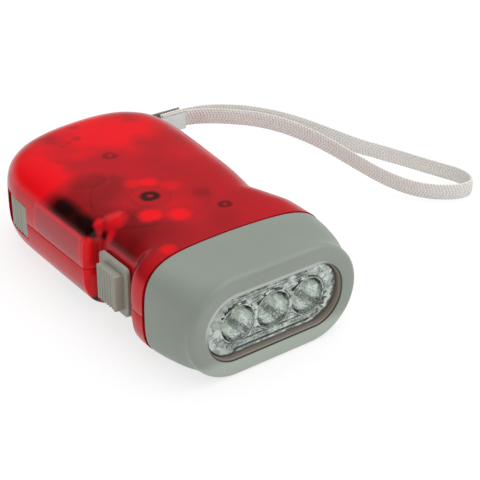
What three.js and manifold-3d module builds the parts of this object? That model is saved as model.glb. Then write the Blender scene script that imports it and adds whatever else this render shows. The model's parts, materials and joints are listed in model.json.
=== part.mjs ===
// A pocket torch with three lamps, charged by squeezing a lever that spins a small dynamo.
// Millimetres, +Z up. The lamps face -Y, the strap leaves at +Y, the lever is on +X and the
// switch and the latch are on -X. Sizes are written with the front face at y = 0 and the
// underside at z = 0; the last group moves the middle of the footprint to the origin.
import * as THREE from "three";
import { mergeVertices } from "three/addons/utils/BufferGeometryUtils.js";
import Module from "manifold-3d";

const wasm = await Module();
wasm.setup();

// Driving dimensions
const LENGTH = 105;
const THICK = 27.6;
const MID = THICK / 2;
const OVERRUN = 2; // how far a cutter runs past what it cuts
const FIT = 0.3; // clearance between pieces that seat on each other
const RUN = 0.12; // clearance round a shaft

const body = {
  wall: 2,
  switchSide: 27.6, // half width on the switch's side
  leverSide: 29.6, // half width at the lever's bulge
  spineX: 1,
  spineEnd: 80,
  frontRun: 30, // the moulding's form is drawn this far ahead of the torch, then cut
  flatShare: 0.35,
  roundPower: 3.6,
};
// Rings of the pillow shape: the share of the way from the spine out to the edge.
const ringShares = [1, 0.985, 0.945, 0.88, 0.78, 0.6, body.flatShare];
const innerRingShares = [1, 0.97, 0.88, 0.72, body.flatShare];

const head = {
  half: 27.8,
  taper: 2.4, // how much narrower each side is at the front
  length: 19.8, // front face to the joint with the red shells, on the centre line
  jointSweep: 4, // how far the joint curves forward at the sides
  rim: 1.6, // rounding of the front edge
  taperEnd: 20,
  lip: 3.8, // front face to the window
  wall: 2.2,
  sideFrame: 5.3, // frame beside the window
  topFrame: 5.3, // frame over and under the window
  cornerShare: 0.470588, // the window's corner as a share of its height
  sideLedge: 2.1, // ledge behind the frame that the window seats on
  topLedge: 2,
  ledgeCorner: 1.6,
  chamberEnd: 13.8,
};
head.frontHalf = head.half - head.taper;
head.windowWide = 2 * (head.frontHalf - head.sideFrame);
head.windowHigh = THICK - 2 * head.topFrame;
head.windowCorner = head.windowHigh * head.cornerShare;
head.chamberWide = head.windowWide + 2 * head.sideLedge;
head.chamberHigh = head.windowHigh + 2 * head.topLedge;
head.chamberCorner = head.windowCorner + head.ledgeCorner;
const spigot = { start: 14.2, thick: 1.4, cover: 3 };

const notch = { depth: 3.8, front: 22, back: 45, floorFront: 27, floorBack: 43 };

const tooth = { moduleShare: 0.0343016, tip: 0.8, root: 1.15 }; // the module as a share of the shafts' distance
const gears = {
  sectorTeeth: 83,
  firstPinionTeeth: 16,
  firstWheelTeeth: 53,
  secondPinionTeeth: 14,
  secondWheelTeeth: 36,
  rotorPinionTeeth: 10,
  wheelThick: 2.2,
};
const pitchRadius = (teeth) => (teeth * tooth.module) / 2;

// Shafts, all upright. The second shaft is the one that shows as a dark spot in a ring of holes.
const shaftRadius = 1;
const leverShaft = { x: 16.8, y: 39 };
const secondShaft = { x: -4.5, y: 48.5 };
const firstShaft = {};
const rotorShaft = {};
const rotorBearing = THREE.MathUtils.degToRad(122);

// The lever's and the second shaft's places set the teeth's size and the other two shafts.
function layTrain() {
  tooth.module = Math.hypot(leverShaft.x - secondShaft.x, leverShaft.y - secondShaft.y) * tooth.moduleShare;
  Object.assign(firstShaft, meetingPoint(
    leverShaft,
    pitchRadius(gears.sectorTeeth + gears.firstPinionTeeth),
    secondShaft,
    pitchRadius(gears.firstWheelTeeth + gears.secondPinionTeeth),
  ));
  const reach = pitchRadius(gears.secondWheelTeeth + gears.rotorPinionTeeth);
  rotorShaft.x = secondShaft.x + reach * Math.cos(rotorBearing);
  rotorShaft.y = secondShaft.y + reach * Math.sin(rotorBearing);
}
layTrain();

// Floors of the gear layers
const layer = {
  sector: 5.6,
  sectorThick: 2.5,
  firstPinion: 5.2,
  firstWheel: 9,
  firstTop: 11.2,
  secondPinion: 8.7,
  secondPinionTop: 11.6,
  secondWheel: 19,
  secondTop: 21.6,
  rotorPinion: 18.7,
  rotorTop: 21.8,
  plate: 11.6,
  plateThick: 1.2,
  core: 14.4,
  coreThick: 4,
};

const lever = {
  half: 8.2, // half height
  wall: 1.6,
  inset: 0.2, // its face lies this far inside the body's edge
  depth: 9,
  hub: 4.2,
  hubNeck: 2.9,
  neckLow: 10.2,
  neckHigh: 17.6,
  start: 43.6,
  end: 90.2,
  swing: THREE.MathUtils.degToRad(22),
  sweepSteps: 8,
  gap: 0.45,
  sectorStart: THREE.MathUtils.degToRad(107),
  sectorEnd: THREE.MathUtils.degToRad(148),
  sectorRim: 5,
  catchReach: 3.6,
  catchThick: 1.5,
  barbLong: 1.6,
  barbThick: 1.6,
};
const spring = { wire: 0.8, coil: 4.1, turns: 4.25, pitch: 1.35, low: 11, fixedLeg: 6, reach: 14 };

const boss = { shaft: 2.4, screw: 2.7, socket: 0.7 };
const screw = { shank: 1, head: 2.1, headHigh: 1.4, seat: 5.2, long: 12, tip: 1.5, pocket: 2.5 };
const frontScrew = { x: 8.6, y: 32 };
const sideScrew = { x: -23, y: 50.5 };
const tailScrew = { x: -14, y: 95.6 };
const cornerScrew = { x: 12, y: 98 };
const screwPlaces = [frontScrew, sideScrew, tailScrew, cornerScrew];

const thumb = {
  plateThick: 1.2,
  lift: 0.2,
  front: 27.8,
  back: 40.9,
  half: 7.1,
  corner: 1.6,
  blockFront: 29.6,
  blockBack: 38.4,
  blockHalf: 4.9,
  blockProud: 0.2,
  ribs: 5,
  ribDeep: 0.5,
  ribGapShare: 0.45,
  neckLong: 4,
  neckHalf: 1.5,
  travel: 1.8,
};
const microSwitch = { inner: 1.2, wide: 3.8, front: 30, back: 40, half: 3.8, slotDeep: 1.4 };

const latch = {
  front: 76,
  back: 85.2,
  half: 4.7,
  travel: 2.4,
  windowBack: 88,
  gap: 0.35,
  ribs: 5,
  ribDeep: 0.4,
  ribGapShare: 0.4,
  legLeft: -22.9,
  legThick: 1.5,
  legFront: 82.8,
  barLow: 6.2,
  barThick: 2,
  barWide: 1.6,
  toothLong: 1.6,
  toothWide: 1.3,
  toothEdge: 20.3,
  guideLeft: -12,
  guideRight: 10,
};

const magnet = { radius: 7, low: 13.1, high: 18.4, airGap: 0.6 };
const core = { outerHalf: 10.3, innerHalf: 7.1, front: 57, legBack: 81.7, legThick: 3.4 };
const coil = { tubeThick: 0.55, flangeRise: 1.85, woundRise: 1.65, flangeThick: 1, long: 13 };

const lens = { thick: 1.4, gap: 0.3 };
const reflector = { back: 13, spacingShare: 0.263682, mouthShare: 0.457547, cupThroat: 2.7, foot: 0.8 };
reflector.cupSpacing = head.windowWide * reflector.spacingShare;
reflector.cupMouth = reflector.cupSpacing * reflector.mouthShare;
const led = { radius: 2.5, flange: 2.9, flangeThick: 1, tip: 6, base: 14.3 };
const ledBoard = { sideGap: 0.9, topGap: 1.1, cornerGap: 1, thick: 1.6 };
ledBoard.wide = head.chamberWide - 2 * ledBoard.sideGap;
ledBoard.high = head.chamberHigh - 2 * ledBoard.topGap;
ledBoard.corner = head.chamberCorner - ledBoard.cornerGap;

const cell = { radius: 5.8, long: 5.4, count: 3, gap: 0.1, firstX: -13, y: 25, z: 9.9 };
const contact = { thick: 0.5, half: 4, low: 4.6, high: 14.2 };
const cradle = { thick: 1.6, half: 5.6, high: 7.2 };
const chargeBoard = { left: -12, right: 4.6, front: 20.4, back: 30, low: 17.6, thick: 1.2 };

const strapPost = { x: 22.8, y: 97.6, radius: 1 };
const crimp = { long: 16.9, wide: 5.9, sheet: 0.4, inside: 3.3, eye: 1.3, turn: -0.03, z: 19.2 };
const strapSlot = { half: 3.5, front: 94.9, back: 100.3, left: 20.2 };
const band = { wide: 5.5, thick: 1.2, cornerShare: 0.55, steps: 60 };
// The strap's route, along the near layer, round the loop's end and back along the far layer.
const strapRoute = [
  [31.5, 96.59, 19.2],
  [39.5, 96.34, 19.2],
  [45.6, 93.6, 19.2],
  [52.7, 90, 18.4],
  [59.8, 85.9, 17.0],
  [66, 81.1, 15.0],
  [71.4, 75.3, 12.4],
  [75.5, 68.2, 9.7],
  [78.7, 59.9, 7.0],
  [81.3, 52.6, 5.0],
  [84, 45.9, 3.8],
  [87.4, 40.2, 3.2],
  [91.7, 35.6, 3.1],
  [96.7, 33, 3.1],
  [100.9, 33.3, 3.1],
  [103.1, 36.4, 3.1],
  [103.3, 41, 3.1],
  [101.6, 46.1, 3.2],
  [98.8, 52.3, 3.6],
  [95.1, 58.1, 4.6],
  [90.3, 63.1, 6.2],
  [84.8, 67.9, 8.2],
  [79.3, 73.4, 10.8],
  [73.9, 79.3, 13.2],
  [67.8, 84.2, 15.6],
  [61.3, 88.7, 17.4],
  [54.6, 92.5, 18.6],
  [47.4, 95.9, 19.2],
  [40, 97.84, 19.2],
  [31.5, 98.09, 19.2],
];

// Supports for the rotor's bearing plate and the stator core
const platePost = { x: -13, y: 53.2 };
const plateRib = { front: 60, back: 65.5, inner: 3 };
const coreRib = { front: 69, back: 75, under: 1.9505 };

// The works are laid out above for one size of torch: the room that they take plus the room round them.
const room = { tail: 8.8966, left: 3.0495, right: 12.8, above: 5.8 };
const laidOut = {
  back: firstShaft.y + pitchRadius(gears.firstWheelTeeth) + room.tail,
  left: core.outerHalf - rotorShaft.x + room.left,
  right: leverShaft.x + room.right,
  high: layer.rotorTop + room.above,
};
// From there they are fitted to the torch's real length, width and thickness. The head keeps its length.
const along = (LENGTH - head.taperEnd) / (laidOut.back - head.taperEnd);
const across = (body.switchSide + body.leverSide) / (laidOut.left + laidOut.right);
const rise = THICK / laidOut.high;
const worksScale = Math.min(along, across);
const roundScale = Math.min(worksScale, rise); // for what lies on its side, such as the cells
const alongAt = (y) => head.taperEnd + (y - head.taperEnd) * along;
const acrossAt = (x) => (x + laidOut.left) * across - body.switchSide;
const anchor = { x: secondShaft.x, y: secondShaft.y };
const worksX = (x) => acrossAt(anchor.x) + (x - anchor.x) * worksScale;
const worksY = (y) => alongAt(anchor.y) + (y - anchor.y) * worksScale;
const times = (scale) => (size) => size * scale;
const plus = (shift) => (size) => size + shift;

function fit(sizes, names, map) {
  names.forEach((name) => {
    sizes[name] = map(sizes[name]);
  });
}

const leverEndBefore = lever.end;
fit(body, ["spineEnd"], alongAt);
fit(notch, ["front", "back", "floorFront", "floorBack"], alongAt);
fit(layer, Object.keys(layer), times(rise));
fit(lever, ["half", "neckLow", "neckHigh"], times(rise));
fit(lever, ["start", "end"], alongAt);
fit(lever, ["depth"], times(across));
fit(lever, ["hub", "hubNeck", "sectorRim"], times(worksScale));
fit(spring, ["coil", "fixedLeg", "reach"], times(worksScale));
fit(spring, ["pitch", "low"], times(rise));
fit(boss, ["shaft", "screw"], times(worksScale));
fit(screw, ["shank", "head", "pocket"], times(worksScale));
fit(screw, ["headHigh", "seat", "long", "tip"], times(rise));
fit(thumb, ["front", "back", "blockFront", "blockBack"], alongAt);
fit(thumb, ["neckLong"], times(along));
fit(thumb, ["half", "blockHalf"], times(rise));
fit(microSwitch, ["front", "back"], alongAt);
fit(microSwitch, ["half"], times(rise));
fit(latch, ["front", "back", "windowBack", "legFront"], plus(lever.end - leverEndBefore));
fit(latch, ["half", "barLow", "barThick"], times(rise));
fit(latch, ["legLeft"], plus(laidOut.left - body.switchSide));
fit(latch, ["toothEdge"], plus(body.leverSide - laidOut.right));
fit(latch, ["guideLeft", "guideRight"], acrossAt);
fit(magnet, ["radius", "airGap"], times(worksScale));
fit(magnet, ["low", "high"], times(rise));
fit(core, ["outerHalf", "innerHalf", "legThick"], times(worksScale));
fit(core, ["front", "legBack"], worksY);
fit(coil, ["long"], times(worksScale));
fit(cell, ["radius", "long", "gap"], times(roundScale));
fit(cell, ["z"], times(rise));
fit(contact, ["half"], times(worksScale));
fit(contact, ["low", "high"], times(rise));
fit(cradle, ["half"], times(worksScale));
fit(cradle, ["high"], times(rise));
fit(chargeBoard, ["low"], times(rise));
fit(cell, ["firstX"], worksX);
fit(chargeBoard, ["left", "right"], worksX);
fit(cell, ["y"], worksY);
fit(chargeBoard, ["front", "back"], worksY);
fit(plateRib, ["front", "back"], worksY);
fit(coreRib, ["front", "back"], worksY);
fit(coreRib, ["under"], times(worksScale));
// The bobbin's bore clears the corners of the core's leg.
coil.bore = Math.hypot(layer.coreThick, core.legThick) / 2 + RUN;
coil.tube = coil.bore + coil.tubeThick;
coil.flange = coil.bore + coil.flangeRise;
coil.wound = coil.bore + coil.woundRise;
[leverShaft, secondShaft, frontScrew, platePost].forEach((place) => {
  fit(place, ["x"], worksX);
  fit(place, ["y"], worksY);
});
[sideScrew, tailScrew, cornerScrew].forEach((place) => {
  fit(place, ["x"], acrossAt);
  fit(place, ["y"], alongAt);
});
layTrain();

// The strap's post, slot and route keep together, and the strap still comes down to the same table.
const postBefore = { x: strapPost.x, y: strapPost.y, z: crimp.z };
fit(strapPost, ["x"], acrossAt);
fit(strapPost, ["y"], alongAt);
fit(crimp, ["z"], times(rise));
fit(strapSlot, ["front", "back"], plus(strapPost.y - postBefore.y));
fit(strapSlot, ["left"], plus(strapPost.x - postBefore.x));
const strapFoot = Math.min(...strapRoute.map(([, , z]) => z));
const strapRise = (crimp.z - strapFoot) / (postBefore.z - strapFoot);
strapRoute.forEach((point) => {
  point[0] += strapPost.x - postBefore.x;
  point[1] += strapPost.y - postBefore.y;
  point[2] = strapFoot + (point[2] - strapFoot) * strapRise;
});

const facets = { shaft: 12, boss: 18, round: 36, small: 10, curve: 4 };

const colour = {
  red: { color: 0xd01020, roughness: 0.12, metalness: 0 },
  grey: { color: 0x8f988e, roughness: 0.45, metalness: 0 },
  clear: { color: 0xe8eeee, roughness: 0.05, metalness: 0 },
  chrome: { color: 0xd8dcdc, roughness: 0.08, metalness: 1 },
  steel: { color: 0xb4b8bc, roughness: 0.3, metalness: 1 },
  nylon: { color: 0xe6e2d6, roughness: 0.5, metalness: 0 },
  ferrite: { color: 0x2a2a2c, roughness: 0.6, metalness: 0.2 },
  iron: { color: 0x6d6f73, roughness: 0.5, metalness: 0.8 },
  copper: { color: 0xa85a2c, roughness: 0.35, metalness: 0.9 },
  board: { color: 0x2f6b3a, roughness: 0.5, metalness: 0 },
  black: { color: 0x1c1c1e, roughness: 0.5, metalness: 0 },
  cellSkin: { color: 0x3b7d4a, roughness: 0.4, metalness: 0.1 },
  fabric: { color: 0xd9d5cc, roughness: 0.9, metalness: 0 },
};

const torch = new THREE.Group();

// Solids and meshes

function solid(geometry) {
  const plain = geometry.index ? geometry.toNonIndexed() : geometry.clone();
  plain.deleteAttribute("normal");
  plain.deleteAttribute("uv");
  const merged = mergeVertices(plain);
  return new wasm.Manifold(
    new wasm.Mesh({
      numProp: 3,
      vertProperties: merged.attributes.position.array,
      triVerts: new Uint32Array(merged.index.array),
    }),
  );
}

const join = (...parts) => parts.reduce((sum, part) => sum.add(part));
const cut = (from, ...parts) => parts.reduce((rest, part) => rest.subtract(part), from);

function piece(name, part, look) {
  const made = part.getMesh();
  const geometry = new THREE.BufferGeometry();
  geometry.setAttribute("position", new THREE.BufferAttribute(made.vertProperties, 3));
  geometry.setIndex(new THREE.BufferAttribute(made.triVerts, 1));
  geometry.computeVertexNormals();
  const mesh = new THREE.Mesh(geometry, new THREE.MeshStandardMaterial(look));
  mesh.name = name;
  torch.add(mesh);
}

function box(x0, x1, y0, y1, z0, z1) {
  const geometry = new THREE.BoxGeometry(x1 - x0, y1 - y0, z1 - z0);
  return solid(geometry.translate((x0 + x1) / 2, (y0 + y1) / 2, (z0 + z1) / 2));
}

function post(place, radius, low, high, sides = facets.boss) {
  const geometry = new THREE.CylinderGeometry(radius, radius, high - low, sides);
  return solid(geometry.rotateX(Math.PI / 2).translate(place.x, place.y, (low + high) / 2));
}

function prism(shape, low, high) {
  const options = { depth: high - low, bevelEnabled: false, curveSegments: facets.curve };
  return solid(new THREE.ExtrudeGeometry(shape, options).translate(0, 0, low));
}

// A shape drawn in X and Z and run along Y.
function prismAlongY(shape, front, back, segments = facets.round / 4) {
  const options = { depth: back - front, bevelEnabled: false, curveSegments: segments };
  return solid(new THREE.ExtrudeGeometry(shape, options).rotateX(Math.PI / 2).translate(0, back, 0));
}

function polygon(points) {
  return new THREE.Shape(points.map(([x, y]) => new THREE.Vector2(x, y)));
}

function roundedRect(wide, high, corner, midX = 0, midY = 0) {
  const right = midX + wide / 2;
  const left = midX - wide / 2;
  const top = midY + high / 2;
  const bottom = midY - high / 2;
  const shape = new THREE.Shape();
  shape.moveTo(left + corner, bottom);
  shape.lineTo(right - corner, bottom);
  shape.absarc(right - corner, bottom + corner, corner, -Math.PI / 2, 0, false);
  shape.lineTo(right, top - corner);
  shape.absarc(right - corner, top - corner, corner, 0, Math.PI / 2, false);
  shape.lineTo(left + corner, top);
  shape.absarc(left + corner, top - corner, corner, Math.PI / 2, Math.PI, false);
  shape.lineTo(left, bottom + corner);
  shape.absarc(left + corner, bottom + corner, corner, Math.PI, 1.5 * Math.PI, false);
  return shape;
}

// The point at given distances from two others, on the side away from the front.
function meetingPoint(a, fromA, b, fromB) {
  const dx = b.x - a.x;
  const dy = b.y - a.y;
  const apart = Math.hypot(dx, dy);
  const along = (fromA ** 2 - fromB ** 2 + apart ** 2) / (2 * apart);
  const off = Math.sqrt(fromA ** 2 - along ** 2);
  return {
    x: a.x + (dx * along + dy * off) / apart,
    y: a.y + (dy * along - dx * off) / apart,
  };
}

// The outside form: an outline in plan, rounded over towards a spine like a pillow

function bodyOutline() {
  const right = body.leverSide;
  const left = -body.switchSide;
  const leverShares = [
    [0.255, 0.938],
    [0.3, 0.888],
    [0.335, 0.845],
    [0.362, 0.806],
    [0.385, 0.806],
    [0.42, 0.835],
    [0.5, 0.893],
    [0.6, 0.936],
    [0.7, 0.975],
    [0.78, 0.997],
    [0.85, 0.995],
    [0.91, 0.95],
    [0.952, 0.845],
    [0.982, 0.693],
    [0.996, 0.507],
    [1, 0.304],
    [0.996, 0.068],
  ];
  const cornerShares = [
    [0.986, 0.181],
    [0.968, 0.417],
    [0.94, 0.634],
    [0.896, 0.82],
    [0.839, 0.937],
    [0.781, 0.989],
    [0.724, 1],
    [0.64, 1.002],
    [0.54, 1.002],
    [0.475, 1.001],
    [0.447, 1.0005],
  ];
  const ahead = -body.frontRun;
  const floor = left + notch.depth;
  const shape = new THREE.Shape();
  shape.moveTo(-head.half, ahead);
  shape.lineTo(head.half, ahead);
  shape.lineTo(head.half, head.taperEnd);
  shape.splineThru([
    ...leverShares.map(([back, out]) => new THREE.Vector2(out * right, alongAt(back * laidOut.back))),
    ...cornerShares.map(([back, out]) => new THREE.Vector2(out * left, alongAt(back * laidOut.back))),
  ]);
  const slopeShares = [
    [0, 0],
    [0.2, 0.1],
    [0.5, 0.5],
    [0.8, 0.9],
    [1, 1],
  ];
  slopeShares.forEach(([part, deep]) => {
    shape.lineTo(left + notch.depth * deep, notch.back + (notch.floorBack - notch.back) * part);
  });
  [...slopeShares].reverse().forEach(([part, deep]) => {
    shape.lineTo(left + notch.depth * deep, notch.front + (notch.floorFront - notch.front) * part);
  });
  shape.lineTo(-head.half, head.taperEnd);
  const points = shape.getPoints(2);
  return points.filter((p, i) => p.distanceTo(points[(i + 1) % points.length]) > 0.05 * FIT);
}

// The outline moved inwards, without the points that end up nearer to it than they should.
function inset(outline, by) {
  const count = outline.length;
  const moved = outline.map((p, i) => {
    const into = p.clone().sub(outline[(i + count - 1) % count]).normalize();
    const onward = outline[(i + 1) % count].clone().sub(p).normalize();
    const along = into.clone().add(onward).normalize();
    const reach = by / along.dot(onward);
    return new THREE.Vector2(p.x - along.y * reach, p.y + along.x * reach);
  });
  const nearShare = 0.985;
  return moved.filter((p) => distanceToOutline(p, outline) > by * nearShare);
}

function distanceToOutline(p, outline) {
  let least = Infinity;
  outline.forEach((a, i) => {
    const b = outline[(i + 1) % outline.length];
    const edge = b.clone().sub(a);
    const share = THREE.MathUtils.clamp(p.clone().sub(a).dot(edge) / edge.lengthSq(), 0, 1);
    least = Math.min(least, p.distanceTo(a.clone().addScaledVector(edge, share)));
  });
  return least;
}

const edgeShare = (share) => (share - body.flatShare) / (1 - body.flatShare);
const crown = (share) => (1 - edgeShare(share) ** body.roundPower) ** (1 / body.roundPower);

// Rings of equal length joined into one closed skin, with flat ends.
function skin(rings) {
  const count = rings[0].length;
  const index = [];
  for (let k = 0; k + 1 < rings.length; k += 1) {
    for (let i = 0; i < count; i += 1) {
      const a = k * count + i;
      const b = k * count + ((i + 1) % count);
      index.push(a, b, b + count, a, b + count, a + count);
    }
  }
  const flat = (ring, u, v) => ring.map((p) => new THREE.Vector2(p[u], p[v]));
  const last = (rings.length - 1) * count;
  const [u, v] = Math.abs(rings[0][0].z - rings[0][1].z) + Math.abs(rings[0][0].z - rings[0][5].z) > 0
    ? ["x", "z"]
    : ["x", "y"];
  const first = THREE.ShapeUtils.triangulateShape(flat(rings[0], u, v), []);
  const end = THREE.ShapeUtils.triangulateShape(flat(rings[rings.length - 1], u, v), []);
  first.forEach(([a, b, c]) => index.push(a, c, b));
  end.forEach(([a, b, c]) => index.push(last + a, last + b, last + c));
  const geometry = new THREE.BufferGeometry();
  const numbers = rings.flat().flatMap((p) => [p.x, p.y, p.z]);
  geometry.setAttribute("position", new THREE.Float32BufferAttribute(numbers, 3));
  geometry.setIndex(index);
  return solid(geometry);
}

function pillow(by) {
  const outline = by > 0 ? inset(bodyOutline(), by) : bodyOutline();
  const half = MID - by;
  const level = (share, side) =>
    outline.map((p) => {
      const spineY = Math.min(p.y, body.spineEnd);
      return new THREE.Vector3(
        body.spineX + (p.x - body.spineX) * share,
        spineY + (p.y - spineY) * share,
        MID + side * half * crown(share),
      );
    });
  const shares = by > 0 ? innerRingShares : ringShares;
  const below = shares.slice(1).reverse().map((share) => level(share, -1));
  const above = shares.map((share) => level(share, 1));
  return skin([...below, ...above]);
}

// The joint between the head and the red shells: everything behind a curve in plan.
function behindJoint(offset) {
  const steps = 12;
  const reach = body.leverSide + OVERRUN;
  const points = [];
  for (let i = 0; i <= steps; i += 1) {
    const share = (2 * i) / steps - 1;
    points.push([share * reach, head.length + offset - head.jointSweep * share ** 2]);
  }
  points.push([reach, LENGTH + OVERRUN], [-reach, LENGTH + OVERRUN]);
  return prism(polygon(points), -OVERRUN, THICK + OVERRUN);
}

const upperHalf = box(
  -LENGTH, LENGTH,
  -LENGTH, 2 * LENGTH,
  MID, THICK + OVERRUN,
);
const lowerHalf = box(
  -LENGTH, LENGTH,
  -LENGTH, 2 * LENGTH,
  -OVERRUN, MID,
);

// Head, lens, reflector and lamps

// Sections of the head across Y, from front to back. The front one has half circles for its sides, and
// they pass into the body's own rounding on the way back.
function headLoft(by, front, back) {
  const taperShares = [
    [0.16, 0],
    [0.32, 0.3],
    [0.5, 0.58],
    [0.74, 0.86],
    [1, 1],
  ];
  const sections = [];
  if (by === 0) {
    const rimSteps = 4;
    for (let i = 0; i < rimSteps; i += 1) {
      const angle = (i / rimSteps) * (Math.PI / 2);
      const shrink = head.rim * (1 - Math.sin(angle));
      sections.push([head.rim * (1 - Math.cos(angle)), head.frontHalf - shrink, MID - shrink, 0]);
    }
    taperShares.forEach(([part, out]) => {
      const half = head.frontHalf + (head.half - head.frontHalf) * out;
      sections.push([part * head.taperEnd, half, MID, out]);
    });
    sections.push([back, head.half, MID, 1]);
  } else {
    sections.push([front, head.half - by, MID - by, 1], [back, head.half - by, MID - by, 1]);
  }
  const shares = by > 0 ? innerRingShares : ringShares;
  const order = [...shares].reverse();
  const rings = sections.map(([y, wide, high, out]) => {
    const corner = (share, sideX, sideZ) => {
      const turn = Math.atan2(crown(share), edgeShare(share));
      const roundX = wide - high * (1 - Math.cos(turn));
      const roundZ = high * Math.sin(turn);
      return new THREE.Vector3(
        sideX * (roundX + (wide * share - roundX) * out),
        y,
        MID + sideZ * (roundZ + (high * crown(share) - roundZ) * out),
      );
    };
    return [
      ...order.map((share) => corner(share, 1, -1)),
      ...shares.slice(1).map((share) => corner(share, 1, 1)),
      ...order.map((share) => corner(share, -1, 1)),
      ...shares.slice(1).map((share) => corner(share, -1, -1)),
    ];
  });
  return skin(rings.reverse());
}

function headBezel() {
  const back = head.length + OVERRUN;
  const opening = roundedRect(head.windowWide, head.windowHigh, head.windowCorner, 0, MID);
  const chamber = roundedRect(head.chamberWide, head.chamberHigh, head.chamberCorner, 0, MID);
  return cut(
    headLoft(0, 0, back),
    behindJoint(-FIT / 2),
    prismAlongY(opening, -OVERRUN, head.lip + OVERRUN / 2),
    prismAlongY(chamber, head.lip, head.chamberEnd + OVERRUN / 2),
    headLoft(head.wall, head.chamberEnd, back + OVERRUN),
  );
}

function windowLens() {
  const wide = head.chamberWide - 2 * lens.gap;
  const high = head.chamberHigh - 2 * lens.gap;
  const shape = roundedRect(wide, high, head.chamberCorner - lens.gap, 0, MID);
  const front = head.lip + lens.gap / 2;
  return prismAlongY(shape, front, front + lens.thick);
}

const reflectorFront = head.lip + lens.thick + lens.gap;
const cupPlaces = [-1, 0, 1].map((step) => step * reflector.cupSpacing);

// A revolved profile of [radius, distance back from the front] pairs, turned to look along -Y.
function turnedAlongY(profile, x, front, sides = facets.boss) {
  const points = profile.map(([radius, back]) => new THREE.Vector2(radius, -back));
  const geometry = new THREE.LatheGeometry(points.reverse(), sides);
  return solid(geometry.rotateX(Math.PI).translate(x, front, MID));
}

function reflectorBlock() {
  const wide = head.chamberWide - 2 * lens.gap;
  const high = head.chamberHigh - 2 * lens.gap;
  const shape = roundedRect(wide, high, head.chamberCorner - lens.gap, 0, MID);
  const block = prismAlongY(shape, reflectorFront, reflector.back);
  const deep = reflector.back - reflectorFront;
  const bowl = (mouth, throat) => {
    const steps = 4;
    const profile = [[0, -reflector.foot], [mouth, -reflector.foot]];
    for (let i = 0; i <= steps; i += 1) {
      const share = i / steps;
      profile.push([mouth - (mouth - throat) * share ** 2, deep * share]);
    }
    profile.push([throat, deep + reflector.foot], [0, deep + reflector.foot]);
    return profile;
  };
  const cups = cupPlaces.map((x) =>
    turnedAlongY(bowl(reflector.cupMouth, reflector.cupThroat), x, reflectorFront),
  );
  return cut(block, ...cups);
}

function ledLamp(x) {
  const body0 = led.base - led.flangeThick - led.tip;
  const steps = 5;
  const profile = [[0, 0]];
  for (let i = 1; i <= steps; i += 1) {
    const angle = (i / steps) * (Math.PI / 2);
    profile.push([led.radius * Math.sin(angle), led.radius * (1 - Math.cos(angle))]);
  }
  profile.push([led.radius, body0], [led.flange, body0]);
  profile.push([led.flange, body0 + led.flangeThick], [0, body0 + led.flangeThick]);
  return turnedAlongY(profile, x, led.tip, facets.shaft);
}

function lampBoard() {
  const shape = roundedRect(ledBoard.wide, ledBoard.high, ledBoard.corner, 0, MID);
  const front = led.base + FIT;
  return prismAlongY(shape, front, front + ledBoard.thick, facets.curve);
}

// Gears

function gearPoints(teeth, phase, from = 0, to = teeth) {
  const pitch = pitchRadius(teeth);
  const root = pitch - tooth.root * tooth.module;
  const tip = pitch + tooth.tip * tooth.module;
  const step = (2 * Math.PI) / teeth;
  const flankShares = [
    [root, -0.28],
    [tip, -0.11],
    [tip, 0.11],
    [root, 0.28],
  ];
  const points = [];
  for (let i = from; i < to; i += 1) {
    flankShares.forEach(([radius, share]) => {
      const angle = phase + (i + share) * step;
      points.push([radius * Math.cos(angle), radius * Math.sin(angle)]);
    });
  }
  return points;
}

const placed = (points, place) => points.map(([x, y]) => [x + place.x, y + place.y]);

function gear(teeth, phase, place, low, high) {
  return prism(polygon(placed(gearPoints(teeth, phase), place)), low, high);
}

// The angle of one tooth of the second gear that sets it in mesh with the first.
function meshedPhase(teethA, phaseA, a, teethB, b) {
  const line = Math.atan2(b.y - a.y, b.x - a.x);
  const stepA = (2 * Math.PI) / teethA;
  const stepB = (2 * Math.PI) / teethB;
  const onLine = (line - phaseA) / stepA;
  return line + Math.PI - (0.5 - onLine) * stepB;
}

const firstPhase = meshedPhase(gears.sectorTeeth, 0, leverShaft, gears.firstPinionTeeth, firstShaft);
const secondPhase = meshedPhase(gears.firstWheelTeeth, 0, firstShaft, gears.secondPinionTeeth, secondShaft);
const rotorPhase = meshedPhase(gears.secondWheelTeeth, 0, secondShaft, gears.rotorPinionTeeth, rotorShaft);

const boreFor = (place, low, high) =>
  post(place, shaftRadius + RUN, low - OVERRUN, high + OVERRUN, facets.shaft);

function firstGear() {
  const pinion = gear(gears.firstPinionTeeth, firstPhase, firstShaft, layer.firstPinion, layer.firstWheel);
  const wheel = gear(gears.firstWheelTeeth, 0, firstShaft, layer.firstWheel, layer.firstTop);
  return cut(join(pinion, wheel), boreFor(firstShaft, layer.firstPinion, layer.firstTop));
}

function secondGear() {
  const hubRadius = pitchRadius(gears.secondPinionTeeth) - tooth.root * tooth.module;
  const wheelRadius = pitchRadius(gears.secondWheelTeeth);
  const pinion = gear(
    gears.secondPinionTeeth, secondPhase, secondShaft, layer.secondPinion, layer.secondPinionTop,
  );
  const hub = post(secondShaft, hubRadius, layer.secondPinionTop, layer.secondTop);
  const wheel = gear(gears.secondWheelTeeth, 0, secondShaft, layer.secondWheel, layer.secondTop);
  const holeRingShare = 0.64;
  const holeShare = 0.19;
  const holes = [];
  for (let i = 0; i < 6; i += 1) {
    const angle = (i * Math.PI) / 3 + Math.PI / 6;
    const place = {
      x: secondShaft.x + wheelRadius * holeRingShare * Math.cos(angle),
      y: secondShaft.y + wheelRadius * holeRingShare * Math.sin(angle),
    };
    holes.push(
      post(place, wheelRadius * holeShare, layer.secondWheel - OVERRUN, layer.secondTop + OVERRUN, facets.shaft),
    );
  }
  const bore = boreFor(secondShaft, layer.secondPinion, layer.secondTop);
  return cut(join(pinion, hub, wheel), bore, ...holes);
}

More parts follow.
